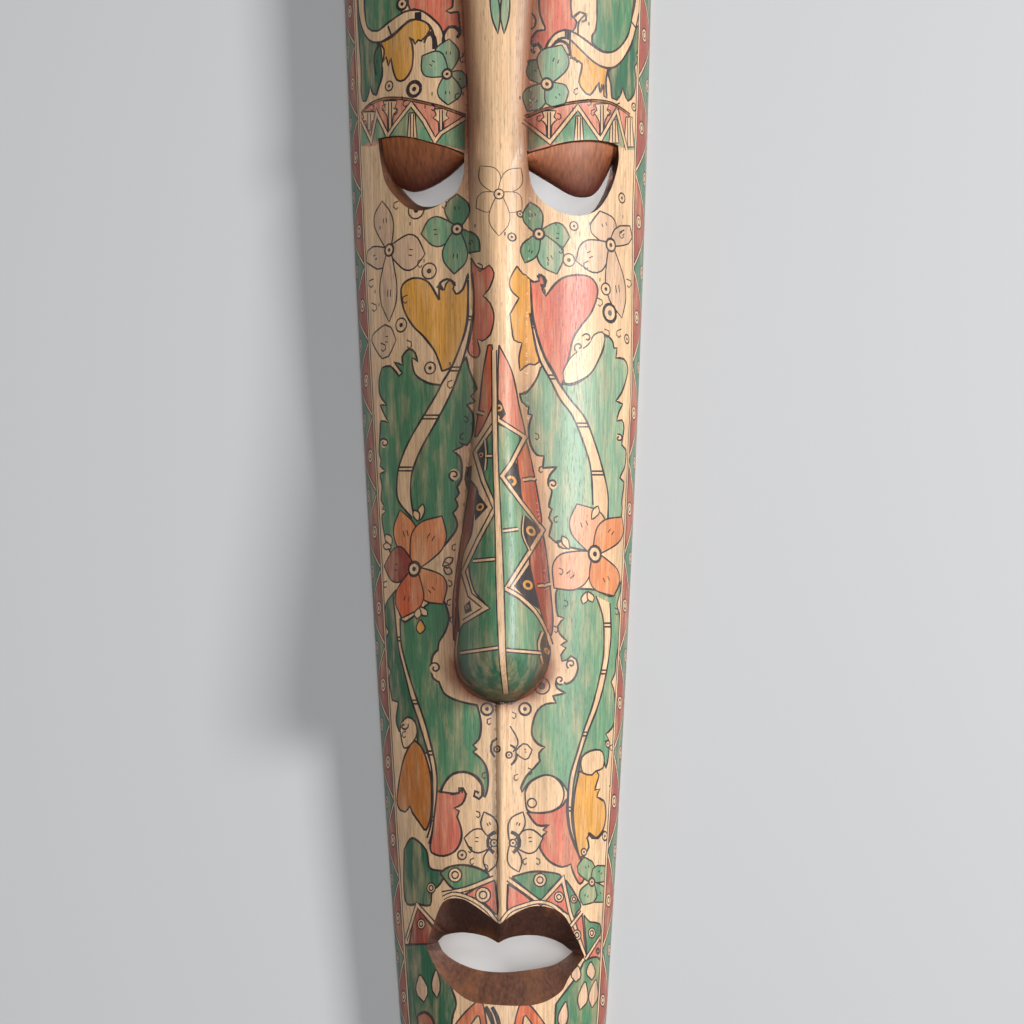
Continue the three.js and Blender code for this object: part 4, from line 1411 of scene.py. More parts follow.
def topmost(places, polygons):
    """The number of the last polygon over each place, or -1 for none."""
    order = np.argsort(places[:, 1])
    heights = places[order, 1]
    top = np.full(len(places), -1)
    for number, polygon in enumerate(polygons):
        low, high = polygon.min(axis=0), polygon.max(axis=0)
        first, last = np.searchsorted(heights, [low[1], high[1]])
        near = order[first:last]
        near = near[(places[near, 0] >= low[0]) & (places[near, 0] <= high[0])]
        if len(near):
            top[near[inside(places[near], polygon)]] = number
    return top


def triangulated(polygons, loose, lines):
    """Cuts the plane along the polygons and lines. Gives the flat points, the triangles, each one's topmost
    polygon, and which given points each point was."""
    points = []
    edges = []
    for polygon in polygons:
        numbers = list(range(len(points), len(points) + len(polygon)))
        edges.extend(zip(numbers, numbers[1:] + numbers[:1]))
        points.extend(map(tuple, polygon))
    for path in lines:
        edges.extend((len(points) + i, len(points) + i + 1) for i in range(len(path) - 1))
        points.extend(map(tuple, path))
    points.extend(map(tuple, loose))
    made = delaunay_2d_cdt([Vector(p) for p in points], edges, [], 0, 1e-4, True)
    flat = np.array([tuple(p) for p in made[0]])
    triangles = np.array(made[2])
    return flat, triangles, topmost(flat[triangles].mean(axis=1), polygons), made[3]


def boundary_loops(triangles):
    """The closed chains of edges that only one triangle uses, each with the skin on its left."""
    ways = {}
    for a, b, c in triangles:
        for start, end in ((a, b), (b, c), (c, a)):
            ways[(start, end)] = True
    following = {start: end for start, end in ways if (end, start) not in ways}
    loops = []
    while following:
        first = next(iter(following))
        loop = [first]
        while following[loop[-1]] != first:
            loop.append(following[loop[-1]])
        for point in loop:
            del following[point]
        loops.append(loop)
    return sorted(loops, key=len, reverse=True)


# %% The front skin
def skin_half(y):
    return QUARTER * half_width(y)


hole_polygons = [np.column_stack([to_skin(loop[:, 0], loop[:, 1]), loop[:, 1]]) for loop, _ in HOLES]
polygons = [outline(skin_half, 0), *[polygon for polygon, _ in drawing], *hole_polygons]
names = ["wood", *[name for _, name in drawing]]
first_hole = len(names)
plain_points = spread(skin_half, FACE_STEP, FACE_STEP, 0)
flat, triangles, top, _ = triangulated(polygons, plain_points, [*ridge_lines(), *brow_lines()])
on_mask = inside(flat[triangles].mean(axis=1), polygons[0]) & (top < first_hole)
triangles = triangles[on_mask]
top_stain = [names[number] for number in top[on_mask]]
used, renumbered = np.unique(triangles, return_inverse=True)
flat = flat[used]
triangles = renumbered.reshape(-1, 3)
print(f"Front skin: {len(flat)} points, {len(triangles)} triangles, {len(drawing)} drawn pieces")

# %% Normals worked out from the form
# mm from a corner towards its triangle's middle, so that each side of a sharp edge keeps its own normal
NUDGE = 0.05
REACH = 0.02  # mm between the two places that a slope is measured over


def form_normals(flat, triangles, surface):
    """A normal for each corner of each triangle, from the surface and not the triangles' sizes."""
    corners = flat[triangles]
    middle = corners.mean(axis=1, keepdims=True)
    towards = middle - corners
    distance = np.maximum(np.hypot(towards[..., 0], towards[..., 1]), TINY)[..., None]
    places = (corners + towards / distance * np.minimum(NUDGE, distance / 2)).reshape(-1, 2)
    across = surface(places + [REACH, 0]) - surface(places - [REACH, 0])
    along = surface(places + [0, REACH]) - surface(places - [0, REACH])
    normals = np.cross(across, along)
    size = np.linalg.norm(normals, axis=1, keepdims=True)
    return np.where(size > 1e-9, normals / np.maximum(size, 1e-9), [0, 0, 1.0]).reshape(-1, 3, 3)


# %% A place to collect the whole piece of wood
wood_points = []  # blocks of points in mm
# One group per part of the wood: triangles, stains, finish and bake places, and normals where known
wood_groups = []


def add_points(points):
    """Keeps some points and gives the numbers they now have."""
    first = sum(len(block) for block in wood_points)
    wood_points.append(np.asarray(points, float))
    return np.arange(first, first + len(points))


def soft_normals(points, triangles):
    """Corner normals smoothed over one group of triangles."""
    corner_a, corner_b, corner_c = (points[triangles[:, corner]] for corner in range(3))
    sides = np.cross(corner_b - corner_a, corner_c - corner_a)
    total = np.zeros_like(points)
    for corner in range(3):
        np.add.at(total, triangles[:, corner], sides)
    total /= np.maximum(np.linalg.norm(total, axis=1, keepdims=True), 1e-9)
    return total[triangles]


front_numbers = add_points(wrapped(flat))
front_normals = form_normals(flat, triangles, wrapped)
wood_groups.append({"triangles": front_numbers[triangles], "normals": front_normals, "stains": top_stain,
                    "finish": 0, "sheet": flat[triangles]})
print("Front skin wrapped,", len(triangles), "triangles")

# %% [markdown]
# ## The hollow back
#
# The back is scooped out with a gouge to a wall about as thick as a thumb, and left as the tool left it:
# long shallow scallops along the grain, in bare wood. It is a second skin, laid over its own flat drawing,
# with the same three holes. The flat rim between the two skins is what the mask lies on.

# %% The hollow
RIM_WIDTH = 13
WALL = 15
GOUGE_WIDTH = 14  # mm, the sweep of the tool
GOUGE_LENGTH = 46
GOUGE_DEPTH = 0.9
HOLLOW_STEP = 4.6
COARSE = 0.36  # the plain inside needs less of the bake than the drawn face


def hollow_half(y):
    return (side_at(y) - RIM_WIDTH) * end_share(y, WALL)


def hollow_skin_half(y):
    return QUARTER * hollow_half(y)


def gouged(across, y):
    """Depth of the tool's scallops: channels side by side, each a chain of strokes."""
    channel = np.floor(across / GOUGE_WIDTH)
    in_channel = across / GOUGE_WIDTH - channel - 0.5
    start = np.sin(channel * 12.9898) * 7.3
    stroke = np.abs(np.sin(math.pi * (y / GOUGE_LENGTH + start)))
    return GOUGE_DEPTH * (1 - 4 * in_channel**2) * (0.35 + 0.65 * stroke)


def hollow_surface(skin):
    half = hollow_half(skin[:, 1])
    share = np.abs(skin[:, 0]) / np.maximum(half, TINY)
    angle = np.interp(share, ARC, ANGLES)
    depth = (BULGE * side_at(skin[:, 1]) - WALL) * end_share(skin[:, 1], WALL)
    rise = np.cos(angle)
    z = depth * rise + gouged(skin[:, 0], skin[:, 1]) * np.clip(rise * 4, 0, 1) * end_share(skin[:, 1], WALL)
    return np.column_stack([np.sign(skin[:, 0]) * half * np.sin(angle), skin[:, 1], z])


def to_hollow_skin(x, y):
    half = np.maximum(hollow_half(y), TINY)
    angle = np.arcsin(np.clip(np.abs(x) / half, 0, 1))
    return np.column_stack([np.sign(x) * half * np.interp(angle, ANGLES, ARC), y])


# %% The walls of the three holes
WALL_STEPS = 7
CHATTER = 0.35  # mm, the unevenness that a knife leaves in a cut through the wall

rings = boundary_loops(triangles)
outer_ring, hole_rings = rings[0], rings[1:]
back_polygons = []
back_numbers = []
for ring_points in hole_rings:
    front = wood_points[0][ring_points]
    centre = front.mean(axis=0)
    _, behind = min(HOLES, key=lambda hole: np.hypot(*(hole[0].mean(axis=0) - centre[:2])))
    back_x, back_y = behind(front[:, 0], front[:, 1])
    back_skin = to_hollow_skin(back_x, back_y)
    back = hollow_surface(back_skin)
    numbers = [front_numbers[ring_points]]
    for step in range(1, WALL_STEPS + 1):
        down = step / WALL_STEPS
        level = front * (1 - down) + back * down
        uneven = CHATTER * np.sin(down * math.pi) * np.sin(np.arange(len(level)) * 0.55 + 3 * down)
        level[:, :2] += (level[:, :2] - centre[:2]) / 30 * uneven[:, None]
        numbers.append(add_points(level))
    walls = []
    for near, far in zip(numbers, numbers[1:]):
        near_next, far_next = np.roll(near, -1), np.roll(far, -1)
        walls.append(np.column_stack([near_next, near, far]))
        walls.append(np.column_stack([near_next, far, far_next]))
    walls = np.vstack(walls)
    corners = np.vstack(wood_points)[walls]
    turn = np.arctan2(corners[..., 1] - centre[1], corners[..., 0] - centre[0])
    turn += np.where((turn < 0) & (np.ptp(turn, axis=1)[:, None] > math.pi), 2 * math.pi, 0)
    wide = np.ptp(front[:, 0]) / 2
    # Painted shade: one brown, darker on the upper half of each wall, which faces down, and paler on the
    # lower half, which faces up
    upper_in_painted_shade = corners.mean(axis=1)[:, 1] > centre[1]
    stains = ["bevel" if up else "lower bevel" for up in upper_in_painted_shade]
    wood_groups.append({"triangles": walls, "stains": stains, "finish": 1,
                        "sheet": np.stack([turn * wide * 0.7, corners[..., 2]], axis=-1)})
    back_polygons.append(back_skin)
    back_numbers.append(numbers[-1])
print("Walls cut for", len(hole_rings), "holes")

# %% Cover the hollow
hollow_outline = outline(hollow_skin_half, WALL)
loose = spread(hollow_skin_half, HOLLOW_STEP, HOLLOW_STEP * 1.5, WALL)
in_flat, in_triangles, in_top, in_origins = triangulated([hollow_outline, *back_polygons], loose, [])
in_triangles = in_triangles[in_top == 0]
used, renumbered = np.unique(in_triangles, return_inverse=True)
in_triangles = renumbered.reshape(-1, 3)
given = np.concatenate([np.full(len(hollow_outline), -1), *back_numbers])
shared = [next((given[o] for o in in_origins[u] if o < len(given) and given[o] >= 0), -1) for u in used]
in_flat = in_flat[used]
in_places = hollow_surface(in_flat)
in_numbers = np.array(shared)
in_numbers[in_numbers < 0] = add_points(in_places[in_numbers < 0])
in_normals = -form_normals(in_flat, in_triangles, hollow_surface)
wood_groups.append({"triangles": in_numbers[in_triangles][:, ::-1], "normals": in_normals[:, ::-1],
                    "stains": ["bare"] * len(in_triangles), "finish": 2,
                    "sheet": in_flat[in_triangles][:, ::-1] * COARSE})
print("Hollow:", len(in_triangles), "triangles")

# %% The flat rim
hollow_ring = max(boundary_loops(in_triangles), key=lambda loop: np.ptp(in_flat[loop][:, 1]))
rim_outer = front_numbers[outer_ring]
rim_inner = in_numbers[hollow_ring]
every_point = np.vstack(wood_points)
rim_flat, rim_triangles, rim_top, rim_origins = triangulated(
    [every_point[rim_outer][:, :2], every_point[rim_inner][:, :2]], np.zeros((0, 2)), [])
rim_triangles = rim_triangles[rim_top == 0]
rim_given = np.concatenate([rim_outer, rim_inner])
rim_numbers = np.array([rim_given[origin[0]] for origin in rim_origins])
rim_triangles = rim_numbers[rim_triangles][:, ::-1]
wood_groups.append({"triangles": rim_triangles, "stains": ["bare"] * len(rim_triangles), "finish": 2,
                    "sheet": every_point[rim_triangles][..., :2] * COARSE / 3})
print("Rim:", len(rim_triangles), "triangles")

# %% [markdown]
# ## The lids
#
# The drooping lids are carved from the same wood as the brow, a step further back. Each is a thick rounded
# plate that runs on into the wood above it and ends in its own curved edge over the slit.

# %% Lids
LID_STEP = 3  # mm from the brow's edge back to the lid
LID_TURN = 8  # how much further back its lower edge is
LID_CURL = 1.7
LID_THICKNESS = 8
LID_EDGE_THICKNESS = 5
LID_ROOT = 5  # how far it runs on into the wood
LID_COLUMNS = 40
LID_ROWS = 14


def lid_plate(eye):
    """The lid's front as a grid of places, and its back the same way."""
    top = evenly(eye["brow"], LID_COLUMNS)
    edge = evenly(eye["lid"], LID_COLUMNS)
    side = np.sign(eye["brow"][0][0])
    shifts = np.zeros(LID_COLUMNS + 2)
    shifts[0], shifts[-1] = side * LID_ROOT, -side * LID_ROOT
    top = np.vstack([top[:1], top, top[-1:]])
    edge = np.vstack([edge[:1], edge, edge[-1:]])
    top[:, 0] += shifts
    edge[:, 0] += shifts
    fronts = []
    backs = []
    darker = []  # painted shade: the lid darkens from the brow down to its edge over the slit
    for row in range(-1, LID_ROWS + 1):
        down = max(row, 0) / LID_ROWS
        darker.append(np.full(len(top), down))
        spot = top * (1 - down) + edge * down
        drop = LID_STEP + LID_TURN * down**LID_CURL
        round_edge = 0.9 * max(0, (down - 0.86) / 0.14) ** 2
        z = shell_height(spot[:, 0], spot[:, 1]) - drop - round_edge
        y = spot[:, 1] + (LID_ROOT if row < 0 else 0)
        thickness = LID_THICKNESS + (LID_EDGE_THICKNESS - LID_THICKNESS) * down - round_edge
        fronts.append(np.column_stack([spot[:, 0], y, z]))
        backs.append(np.column_stack([spot[:, 0], y, z - thickness]))
    return np.array(fronts), np.array(backs), np.array(darker)


def grid_triangles(numbers):
    near, right_one, far, far_right = numbers[:-1, :-1], numbers[:-1, 1:], numbers[1:, :-1], numbers[1:, 1:]
    first = np.stack([near, right_one, far_right], axis=-1).reshape(-1, 3)
    second = np.stack([near, far_right, far], axis=-1).reshape(-1, 3)
    return np.vstack([first, second])


lid_painted_shade = []  # (numbers of points, how much painted shade darkens them)
for eye in EYES:
    fronts, backs, darker = lid_plate(eye)
    rows_down, columns = fronts.shape[:2]
    front_numbers_here = add_points(fronts.reshape(-1, 3)).reshape(rows_down, columns)
    back_numbers_here = add_points(backs.reshape(-1, 3)).reshape(rows_down, columns)
    lid_painted_shade += [(front_numbers_here.ravel(), darker.ravel()), (back_numbers_here.ravel(), darker.ravel())]
    faces = [grid_triangles(front_numbers_here), grid_triangles(back_numbers_here)[:, ::-1]]
    seen_along = [(0, 1), (0, 1), (0, 2), (0, 2), (1, 2),
                  (1, 2)]  # the two axes that each face is flattened on
    for border in ("top", "bottom", "first", "last"):
        pick = {"top": (0, slice(None)), "bottom": (-1, slice(None)), "first": (slice(None), 0),
                "last": (slice(None), -1)}
        strip = np.stack([front_numbers_here[pick[border]], back_numbers_here[pick[border]]])
        turned = border in ("top", "last")
        faces.append(grid_triangles(strip)[:, ::-1] if turned else grid_triangles(strip))
    every_point = np.vstack(wood_points)
    corner_sets = every_point[np.vstack(faces)]
    volume = np.einsum("ij,ij->i", corner_sets[:, 0], np.cross(corner_sets[:, 1], corner_sets[:, 2])).sum()
    for group, axes in zip(faces, seen_along):
        turned = group[:, ::-1] if volume < 0 else group
        wood_groups.append({"triangles": turned, "stains": ["lid"] * len(turned), "finish": 1,
                            "sheet": every_point[turned][..., list(axes)] * (1 if axes == (0, 1) else 0.8)})
    print(f"Lid of {sum(len(g) for g in faces)} triangles, volume {abs(volume) / 6000:.1f} cm3")

# %% [markdown]
# ## Stains
#
# The stains are thin and let the grain through. Each is one colour, listed here and tuned by comparing
# patches of the picture with the photograph. The shader gives it the grain. The ink is a purple black, the
# lids and the bevels of eyes and mouth have a dark brown coat, and the back is bare.

# %% Colours
STAINS = {
    "wood": "#ecc296",
    "ink": "#2b1d22",
    "grey": "#6d655f",
    "green": "#50835c",
    "deep green": "#35694a",
    "pale green": "#8aab8a",
    "leaf": "#6f9a74",
    "coral": "#d86f56",
    "dark red": "#9c4234",
    "flame": "#d9653a",
    "orange": "#e48c58",
    "ochre": "#e3a043",
    "petal": "#dfb694",
    "brow line": "#a8683a",
    "lid": "#ab6338",
    "bulb green": "#3f7352",
    # The two bevel browns are one stain, the upper one darkened as painted shade
    "bevel": "#4b2c22",
    "lower bevel": "#65402f",
    "bare": "#c9a473",
    "bare light": "#e6cfa6",
    "coral light": "#dc8a70",
    "orange light": "#e7a17a",
    "red": "#b8452f",
    "flame ochre": "#c9772f",
    "border green": "#4f8064",
    "border coral": "#a94f3f",
}


def linear(colour):
    """An sRGB hex colour as the linear values that Blender mixes in."""
    parts = [int(colour[i:i + 2], 16) / 255 for i in (1, 3, 5)]
    return [c / 12.92 if c <= 0.04045 else ((c + 0.055) / 1.055) ** 2.4 for c in parts] + [1.0]


STAIN_COLOURS = {name: linear(colour) for name, colour in STAINS.items()}
print(len(STAINS), "stains")

# %% Brown airbrush and painted shade along the edges
BROWN_REACH = 9.0  # mm


def airbrush_and_painted_shade(x, y):
    """How strongly brown darkens a place: partly airbrushed stain and partly painted shade in the creases
    beside the column and round the nose, and painted shade under the bulb and along the rim.
    """
    foot = middle_half(y)
    beside = np.exp(-(((np.abs(x) - foot) / BROWN_REACH) ** 2))
    column = beside * smoothstep(y, 20, 150) * smoothstep(CROWN_Y - y, 20, 110) * 0.95
    nose = beside * smoothstep(-y, -20, 60) * smoothstep(y, NOSE_UNDER_Y - 6, NOSE_UNDER_Y + 20) * 0.6
    off_bulb = np.hypot(x, y - NOSE_BULB_Y) - NOSE_BULB_RADIUS
    under = np.exp(-(off_bulb / 5) ** 2) * smoothstep(-y, 205, 225) * 0.8
    rim = smoothstep(np.abs(x) / np.maximum(half_width(y), TINY), 0.97, 1.0) * 0.3
    return np.clip(column + nose + under + rim, 0, 1)


# %% Lay the skins out on one square for the bake
SHEET_WIDTH = 680  # mm
SHEET_GAP = 5


def cut_up(sheet):
    """The long face is laid out as two halves side by side: rows of it above y = 0, then rows below."""
    if np.ptp(sheet[..., 1]) < SHEET_WIDTH:
        return [(sheet, np.zeros(len(sheet)))]
    lower = (sheet[..., 1].mean(axis=1) < 0).astype(float)
    return [(sheet, lower)]


def laid_out(parts):
    """Places every part on shelves, tallest first, and gives each corner its place in a unit square."""
    blocks = []
    for number, (sheet, half) in enumerate(parts):
        for value in np.unique(half):
            blocks.append((number, half == value))
    blocks.sort(key=lambda block: -np.ptp(parts[block[0]][0][block[1]][..., 1]))
    out = [np.zeros_like(sheet) for sheet, _ in parts]
    left = foot = shelf = 0
    for number, rows_in in blocks:
        piece = parts[number][0][rows_in]
        low = piece.min(axis=(0, 1))
        wide, tall = piece.max(axis=(0, 1)) - low
        if left + wide > SHEET_WIDTH:
            left, foot, shelf = 0, foot + shelf + SHEET_GAP, 0
        out[number][rows_in] = piece - low + [left, foot]
        left += wide + SHEET_GAP
        shelf = max(shelf, tall)
    every = np.vstack(out)
    print("Bake sheet:", np.round(every.max(axis=(0, 1))), "mm")
    return every / max(SHEET_WIDTH, every.max()) * 0.996 + 0.002


# %% Make the mesh
FACET_FIT = 0.9993  # the plain model's facets cut its rim's curve this much short of the true curve
places = np.vstack(wood_points) * [FACET_FIT, 1, 1]
all_triangles = np.vstack([group["triangles"] for group in wood_groups])
# Brown over the front: partly airbrushed stain, partly painted shade
brown = airbrush_and_painted_shade(places[:, 0], places[:, 1])
brown[len(wood_points[0]):] = 0
# The lids take painted shade, darker row by row towards the slit
for numbers, darker in lid_painted_shade:
    brown[numbers] = darker
normals = []
for group in wood_groups:
    if "normals" in group:
        normals.append(group["normals"])
    else:
        numbers, local = np.unique(group["triangles"], return_inverse=True)
        normals.append(soft_normals(places[numbers], local.reshape(-1, 3)))
INK_GRAIN = 0.25  # ink lets a quarter of the grain show, and a stain lets all of it
stain_names = [name for group in wood_groups for name in group["stains"]]
colours = np.array([STAIN_COLOURS[name] for name in stain_names])
colours[:, 3] = [INK_GRAIN if name in ("ink", "grey") else 1.0 for name in stain_names]
print(len(all_triangles), "triangles in all")
finishes = np.concatenate([np.full(len(group["triangles"]), group["finish"]) for group in wood_groups])

# Points that are the same to a thousandth of a mm become one, and a triangle left with two equal corners goes
WELD_DIGITS = 3
_, first_of, welded = np.unique(np.round(places, WELD_DIGITS), axis=0, return_index=True, return_inverse=True)
all_triangles = welded.reshape(-1)[all_triangles]
places = places[first_of]
brown = brown[first_of]
solid = (all_triangles != np.roll(all_triangles, 1, axis=1)).all(axis=1)
# Two triangles left back to back on the same three points hold no wood between them, and both go
_, same, uses = np.unique(np.sort(all_triangles, axis=1), axis=0, return_inverse=True, return_counts=True)
solid &= uses[same.reshape(-1)] == 1
all_triangles = all_triangles[solid]
colours = colours[solid]
finishes = finishes[solid]
corner_normals = np.vstack(normals)[solid]
print("Welding took out", int((~solid).sum()), "triangles")

mesh = bpy.data.meshes.new("mask_wood")
mesh.from_pydata((places * MM).tolist(), [], all_triangles.tolist())
mesh.shade_smooth()
mesh.polygons.foreach_set("material_index", finishes.astype(np.int32))
stain_layer = mesh.color_attributes.new("stain", "FLOAT_COLOR", "CORNER")
stain_layer.data.foreach_set("color", np.repeat(colours, 3, axis=0).ravel())
brown_layer = mesh.attributes.new("airbrush_and_painted_shade", "FLOAT", "POINT")
brown_layer.data.foreach_set("value", brown)
sheet = mesh.uv_layers.new(name="OFBake")
bake_places = laid_out([part for group in wood_groups for part in cut_up(group["sheet"])])[solid]
sheet.data.foreach_set("uv", bake_places.ravel())
mesh.normals_split_custom_set(corner_normals.reshape(-1, 3).tolist())
mask = bpy.data.objects.new("carved_mask", mesh)
bpy.context.scene.collection.objects.link(mask)
print(f"The mask: {len(mesh.vertices)} points, {len(mesh.polygons)} triangles")

# %% One helper for every node
def node(tree, kind, settings=None, links=None):
    """Adds a shader node, sets its options and socket values, and plugs other sockets into it."""
    made = tree.nodes.new("ShaderNode" + kind)
    for name, value in (settings or {}).items():
        if isinstance(name, str) and hasattr(made, name):
            setattr(made, name, value)
        else:
            made.inputs[name].default_value = value
    for name, source in (links or {}).items():
        tree.links.new(source, made.inputs[name])
    return made


def new_material(name):
    material = bpy.data.materials.new(name)
    material.use_nodes = True
    material.node_tree.nodes.clear()
    return material, material.node_tree


def finished(material, tree, shader):
    """The material, with its shader plugged into the output."""
    node(tree, "OutputMaterial", {}, {"Surface": shader.outputs["BSDF"]})
    return material


# %% [markdown]
# ## Stained and varnished wood
#
# The face is pale soft wood sanded along its grain, stained thin, and coated with a satin spirit varnish.
# What the eye gets is fine upright streaks with short dark pores, colours that are a little uneven along
# the grain, and a soft shine with a clear coat over it. Scales come from the wood: a streak is about a
# millimetre wide and six centimetres long, and a pore a third of a millimetre by eight.

# %% Varnished wood
STREAK_WIDTH = 1.3 * MM
STREAK_LENGTH = 60 * MM
PORE_WIDTH = 0.55 * MM
PORE_LENGTH = 9 * MM
BAND_WIDTH = 11 * MM
BAND_LENGTH = 300 * MM


def grain_noise(tree, place, width, length, detail):
    """Noise drawn out along the grain, which runs from chin to crown."""
    stretched = node(tree, "Mapping", {"Scale": (1 / width, 1 / length, 1 / width)}, {"Vector": place})
    return node(tree, "TexNoise", {"Scale": 1.0, "Detail": detail, "Roughness": 0.6},
                {"Vector": stretched.outputs["Vector"]}).outputs["Fac"]


def remapped(tree, source, low, high, to_low, to_high):
    return node(tree, "MapRange",
                {"From Min": low, "From Max": high, "To Min": to_low, "To Max": to_high},
                {"Value": source}).outputs["Result"]


def multiplied(tree, first, second):
    return node(tree, "Math", {"operation": "MULTIPLY"}, {0: first, 1: second}).outputs[0]


def varnished_wood():
    material, tree = new_material("soft_wood_stained_and_varnished")
    place = node(tree, "TexCoord").outputs["Object"]
    stain_colour = node(tree, "Attribute", {"attribute_name": "stain"})
    brown = node(tree, "Attribute", {"attribute_name": "airbrush_and_painted_shade"})
    streaks = grain_noise(tree, place, STREAK_WIDTH, STREAK_LENGTH, 3.0)
    pores = grain_noise(tree, place, PORE_WIDTH, PORE_LENGTH, 1.0)
    bands = grain_noise(tree, place, BAND_WIDTH, BAND_LENGTH, 2.0)
    light = multiplied(tree, remapped(tree, streaks, 0.3, 0.7, 0.72, 1.22),
                       remapped(tree, bands, 0.3, 0.7, 0.86, 1.12))
    light = multiplied(tree, light, remapped(tree, pores, 0.27, 0.4, 0.62, 1.0))
    shown_grain = node(tree, "Mix", {"data_type": "FLOAT", "A": 1.0},
                       {"Factor": stain_colour.outputs["Alpha"], "B": light}).outputs["Result"]
    worn = multiplied(tree, remapped(tree, grain_noise(tree, place, 7 * MM, 40 * MM, 4.0), 0.46, 0.72, 0.0,
                                     0.5),
                      stain_colour.outputs["Alpha"])
    thinned = node(tree, "Mix", {"data_type": "RGBA", "B": STAIN_COLOURS["wood"]},
                   {"Factor": worn, "A": stain_colour.outputs["Color"]}).outputs["Result"]
    grained = node(tree, "VectorMath", {"operation": "SCALE"},
                   {0: thinned, "Scale": shown_grain}).outputs["Vector"]
    # The brown multiplied in here is partly airbrushed stain and partly painted shade in the creases, under
    # the bulb and along the rim
    shaded = node(tree, "Mix", {"data_type": "RGBA", "blend_type": "MULTIPLY", "B": linear("#8a5230")},
                  {"Factor": brown.outputs["Fac"], "A": grained})
    sheen = remapped(tree, streaks, 0.3, 0.7, 0.42, 0.58)
    bump_height = node(tree, "Math", {"operation": "ADD"},
                       {0: multiplied(tree, streaks, streaks),
                        1: remapped(tree, pores, 0.27, 0.4, -0.7, 0)}).outputs[0]
    bump = node(tree, "Bump", {"Strength": 0.35, "Distance": 0.3 * MM}, {"Height": bump_height})
    shader = node(tree, "BsdfPrincipled",
                  {"IOR": 1.5, "Coat Weight": 0.3, "Coat Roughness": 0.3, "Coat IOR": 1.5},
                  {"Base Color": shaded.outputs["Result"], "Roughness": sheen,
                   "Normal": bump.outputs["Normal"],
                   "Coat Normal": bump.outputs["Normal"]})
    return finished(material, tree, shader)


# %% Dark brown coat on lids and bevels
def brown_wood():
    material, tree = new_material("soft_wood_under_dark_brown_stain")
    place = node(tree, "TexCoord").outputs["Object"]
    stain_colour = node(tree, "Attribute", {"attribute_name": "stain"})
    streaks = grain_noise(tree, place, STREAK_WIDTH * 1.4, STREAK_LENGTH / 3, 3.0)
    rubbed = grain_noise(tree, place, 16 * MM, 30 * MM, 3.0)
    light = remapped(tree, streaks, 0.3, 0.7, 0.6, 1.35)
    grained = node(tree, "VectorMath", {"operation": "SCALE"},
                   {0: stain_colour.outputs["Color"], "Scale": light}).outputs["Vector"]
    worn = node(tree, "Mix", {"data_type": "RGBA", "B": linear("#b9713c")},
                {"Factor": remapped(tree, rubbed, 0.5, 0.75, 0.0, 0.3), "A": grained})
    # Painted shade: the lids darken from the brow down to their edge over the slit
    lid_shade = node(tree, "Attribute", {"attribute_name": "airbrush_and_painted_shade"})
    lid_shade_darkened = node(tree, "Mix", {"data_type": "RGBA", "blend_type": "MULTIPLY", "B": linear("#774a3e")},
                  {"Factor": lid_shade.outputs["Fac"], "A": worn.outputs["Result"]})
    bump = node(tree, "Bump", {"Strength": 0.3, "Distance": 0.3 * MM}, {"Height": streaks})
    shader = node(tree, "BsdfPrincipled",
                  {"IOR": 1.5, "Roughness": 0.58, "Coat Weight": 0.08, "Coat Roughness": 0.3},
                  {"Base Color": lid_shade_darkened.outputs["Result"], "Normal": bump.outputs["Normal"]})
    return finished(material, tree, shader)


# %% Bare gouged wood
def bare_wood():
    material, tree = new_material("soft_wood_left_bare_from_the_gouge")
    place = node(tree, "TexCoord").outputs["Object"]
    streaks = grain_noise(tree, place, STREAK_WIDTH, STREAK_LENGTH, 4.0)
    bands = grain_noise(tree, place, BAND_WIDTH, BAND_LENGTH, 2.0)
    light = multiplied(tree, remapped(tree, streaks, 0.3, 0.7, 0.7, 1.15),
                       remapped(tree, bands, 0.3, 0.7, 0.8, 1.1))
    grained = node(tree, "VectorMath", {"operation": "SCALE", 0: linear("#c39c6c")[:3]},
                   {"Scale": light}).outputs["Vector"]
    bump = node(tree, "Bump", {"Strength": 0.5, "Distance": 0.4 * MM}, {"Height": streaks})
    shader = node(tree, "BsdfPrincipled", {"IOR": 1.5, "Roughness": 0.75},
                  {"Base Color": grained, "Normal": bump.outputs["Normal"]})
    return finished(material, tree, shader)


for material in (varnished_wood(), brown_wood(), bare_wood()):
    mesh.materials.append(material)
print("Finishes:", [material.name for material in mesh.materials])

# %% The mask stands for the plain model
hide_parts("mask")
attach(mask, "root")

# %% [markdown]
# ## Floor and light
#
# The mask lies on a plain pale floor. The strongest light stands low to its right and gives the shadow on
# the left. A second one over the face keeps the colours clear, and a weak broad one fills the left. Three
# small lights in the hollow keep the floor seen through the eyes and the mouth as pale as the rest.

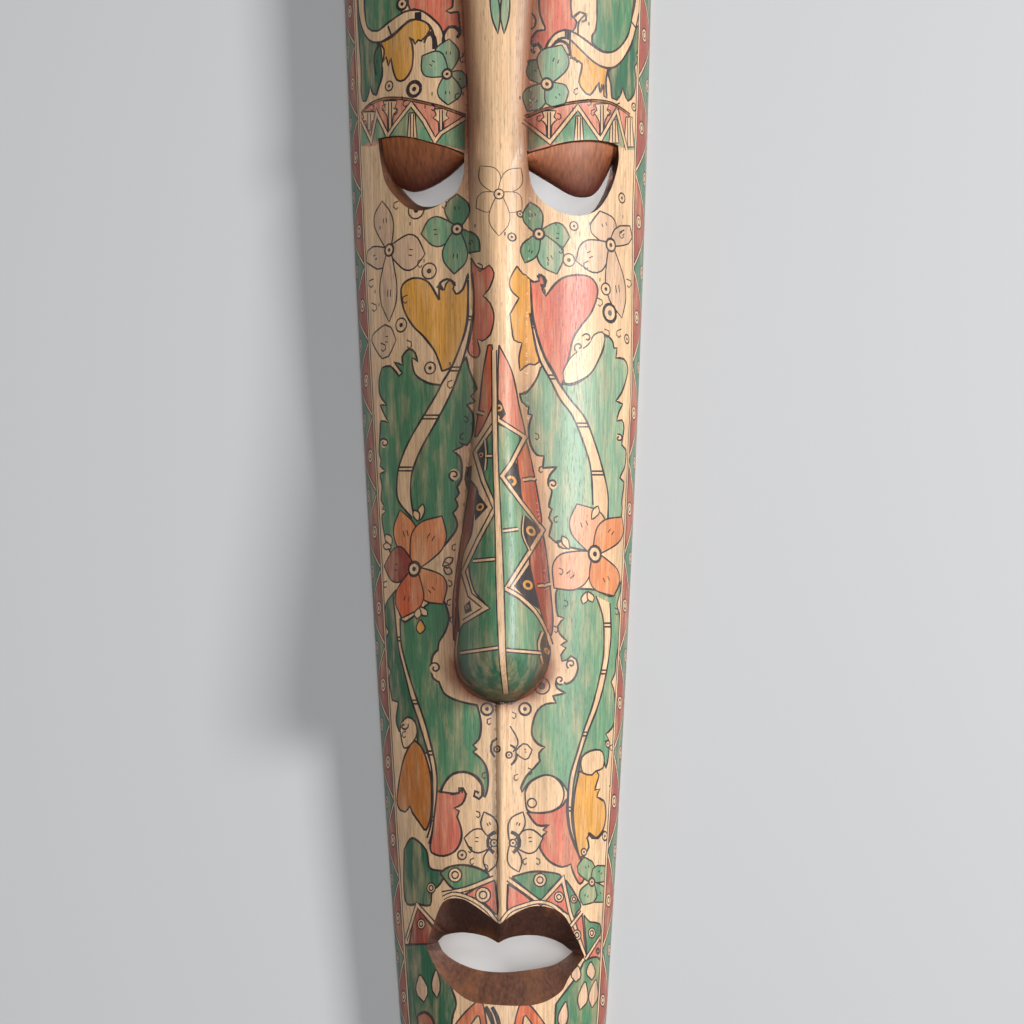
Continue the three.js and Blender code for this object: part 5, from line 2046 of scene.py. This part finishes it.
# %% Floor
FLOOR_SIZE = 14  # metres
FLOOR_GAP = 0.0005  # metres between the rim and the floor, so that the two flat faces don't flicker
bpy.ops.mesh.primitive_plane_add(size=FLOOR_SIZE, location=(0, 0, -FLOOR_GAP))
floor = bpy.context.object
floor.name = "floor"
floor_material, floor_tree = new_material("matt_painted_floor")
floor_shader = node(floor_tree, "BsdfPrincipled", {"Base Color": linear("#cdced0"), "Roughness": 0.8})
floor.data.materials.append(finished(floor_material, floor_tree, floor_shader))


# %% Lights
def soft_light(name, place, aim, width, height, watts, colour="#ffffff", seen=True):
    """A flat rectangular light at a place, turned towards what it lights."""
    data = bpy.data.lights.new(name, "AREA")
    data.shape = "RECTANGLE"
    data.size = width
    data.size_y = height
    data.energy = watts
    data.color = linear(colour)[:3]
    lamp = bpy.data.objects.new(name, data)
    lamp.location = place
    lamp.rotation_euler = (Vector(aim) - Vector(place)).to_track_quat("-Z", "Y").to_euler()
    lamp.visible_camera = seen
    bpy.context.scene.collection.objects.link(lamp)
    return lamp


# Name, place, the spot it points at, width and height in metres, and power in watts
FACE = (0, -0.1, 0.05)
ROOM_LIGHTS = [
    ("key", (2.8, 0.45, 2.05), FACE, 0.7, 0.7, 104),
    ("fill", (-1.9, -0.3, 2.4), FACE, 1.6, 1.6, 4),
    ("front", (0.15, -0.3, 2.75), FACE, 0.7, 0.9, 30),
]
HOLLOW_LIGHTS = [
    ("under_right_eye", (0.05, 0.13, 0.034), (0.05, 0.105, 0), 0.07, 0.03, 0.022),
    ("under_left_eye", (-0.05, 0.13, 0.034), (-0.05, 0.105, 0), 0.05, 0.03, 0.006),
    ("under_mouth", (0.0, -0.375, 0.024), (0.0, -0.4, 0), 0.08, 0.02, 0.015),
]
for light in ROOM_LIGHTS:
    soft_light(*light)
for light in HOLLOW_LIGHTS:
    soft_light(*light, seen=False)
print(len(ROOM_LIGHTS), "lights in the room and", len(HOLLOW_LIGHTS), "in the hollow")

WORLD_STRENGTH = 0.09
world = bpy.data.worlds.new("studio")
world.use_nodes = True
world.node_tree.nodes["Background"].inputs["Color"].default_value = linear("#dfe5ea")
world.node_tree.nodes["Background"].inputs["Strength"].default_value = WORLD_STRENGTH
bpy.context.scene.world = world
bpy.context.scene.view_settings.view_transform = "Standard"
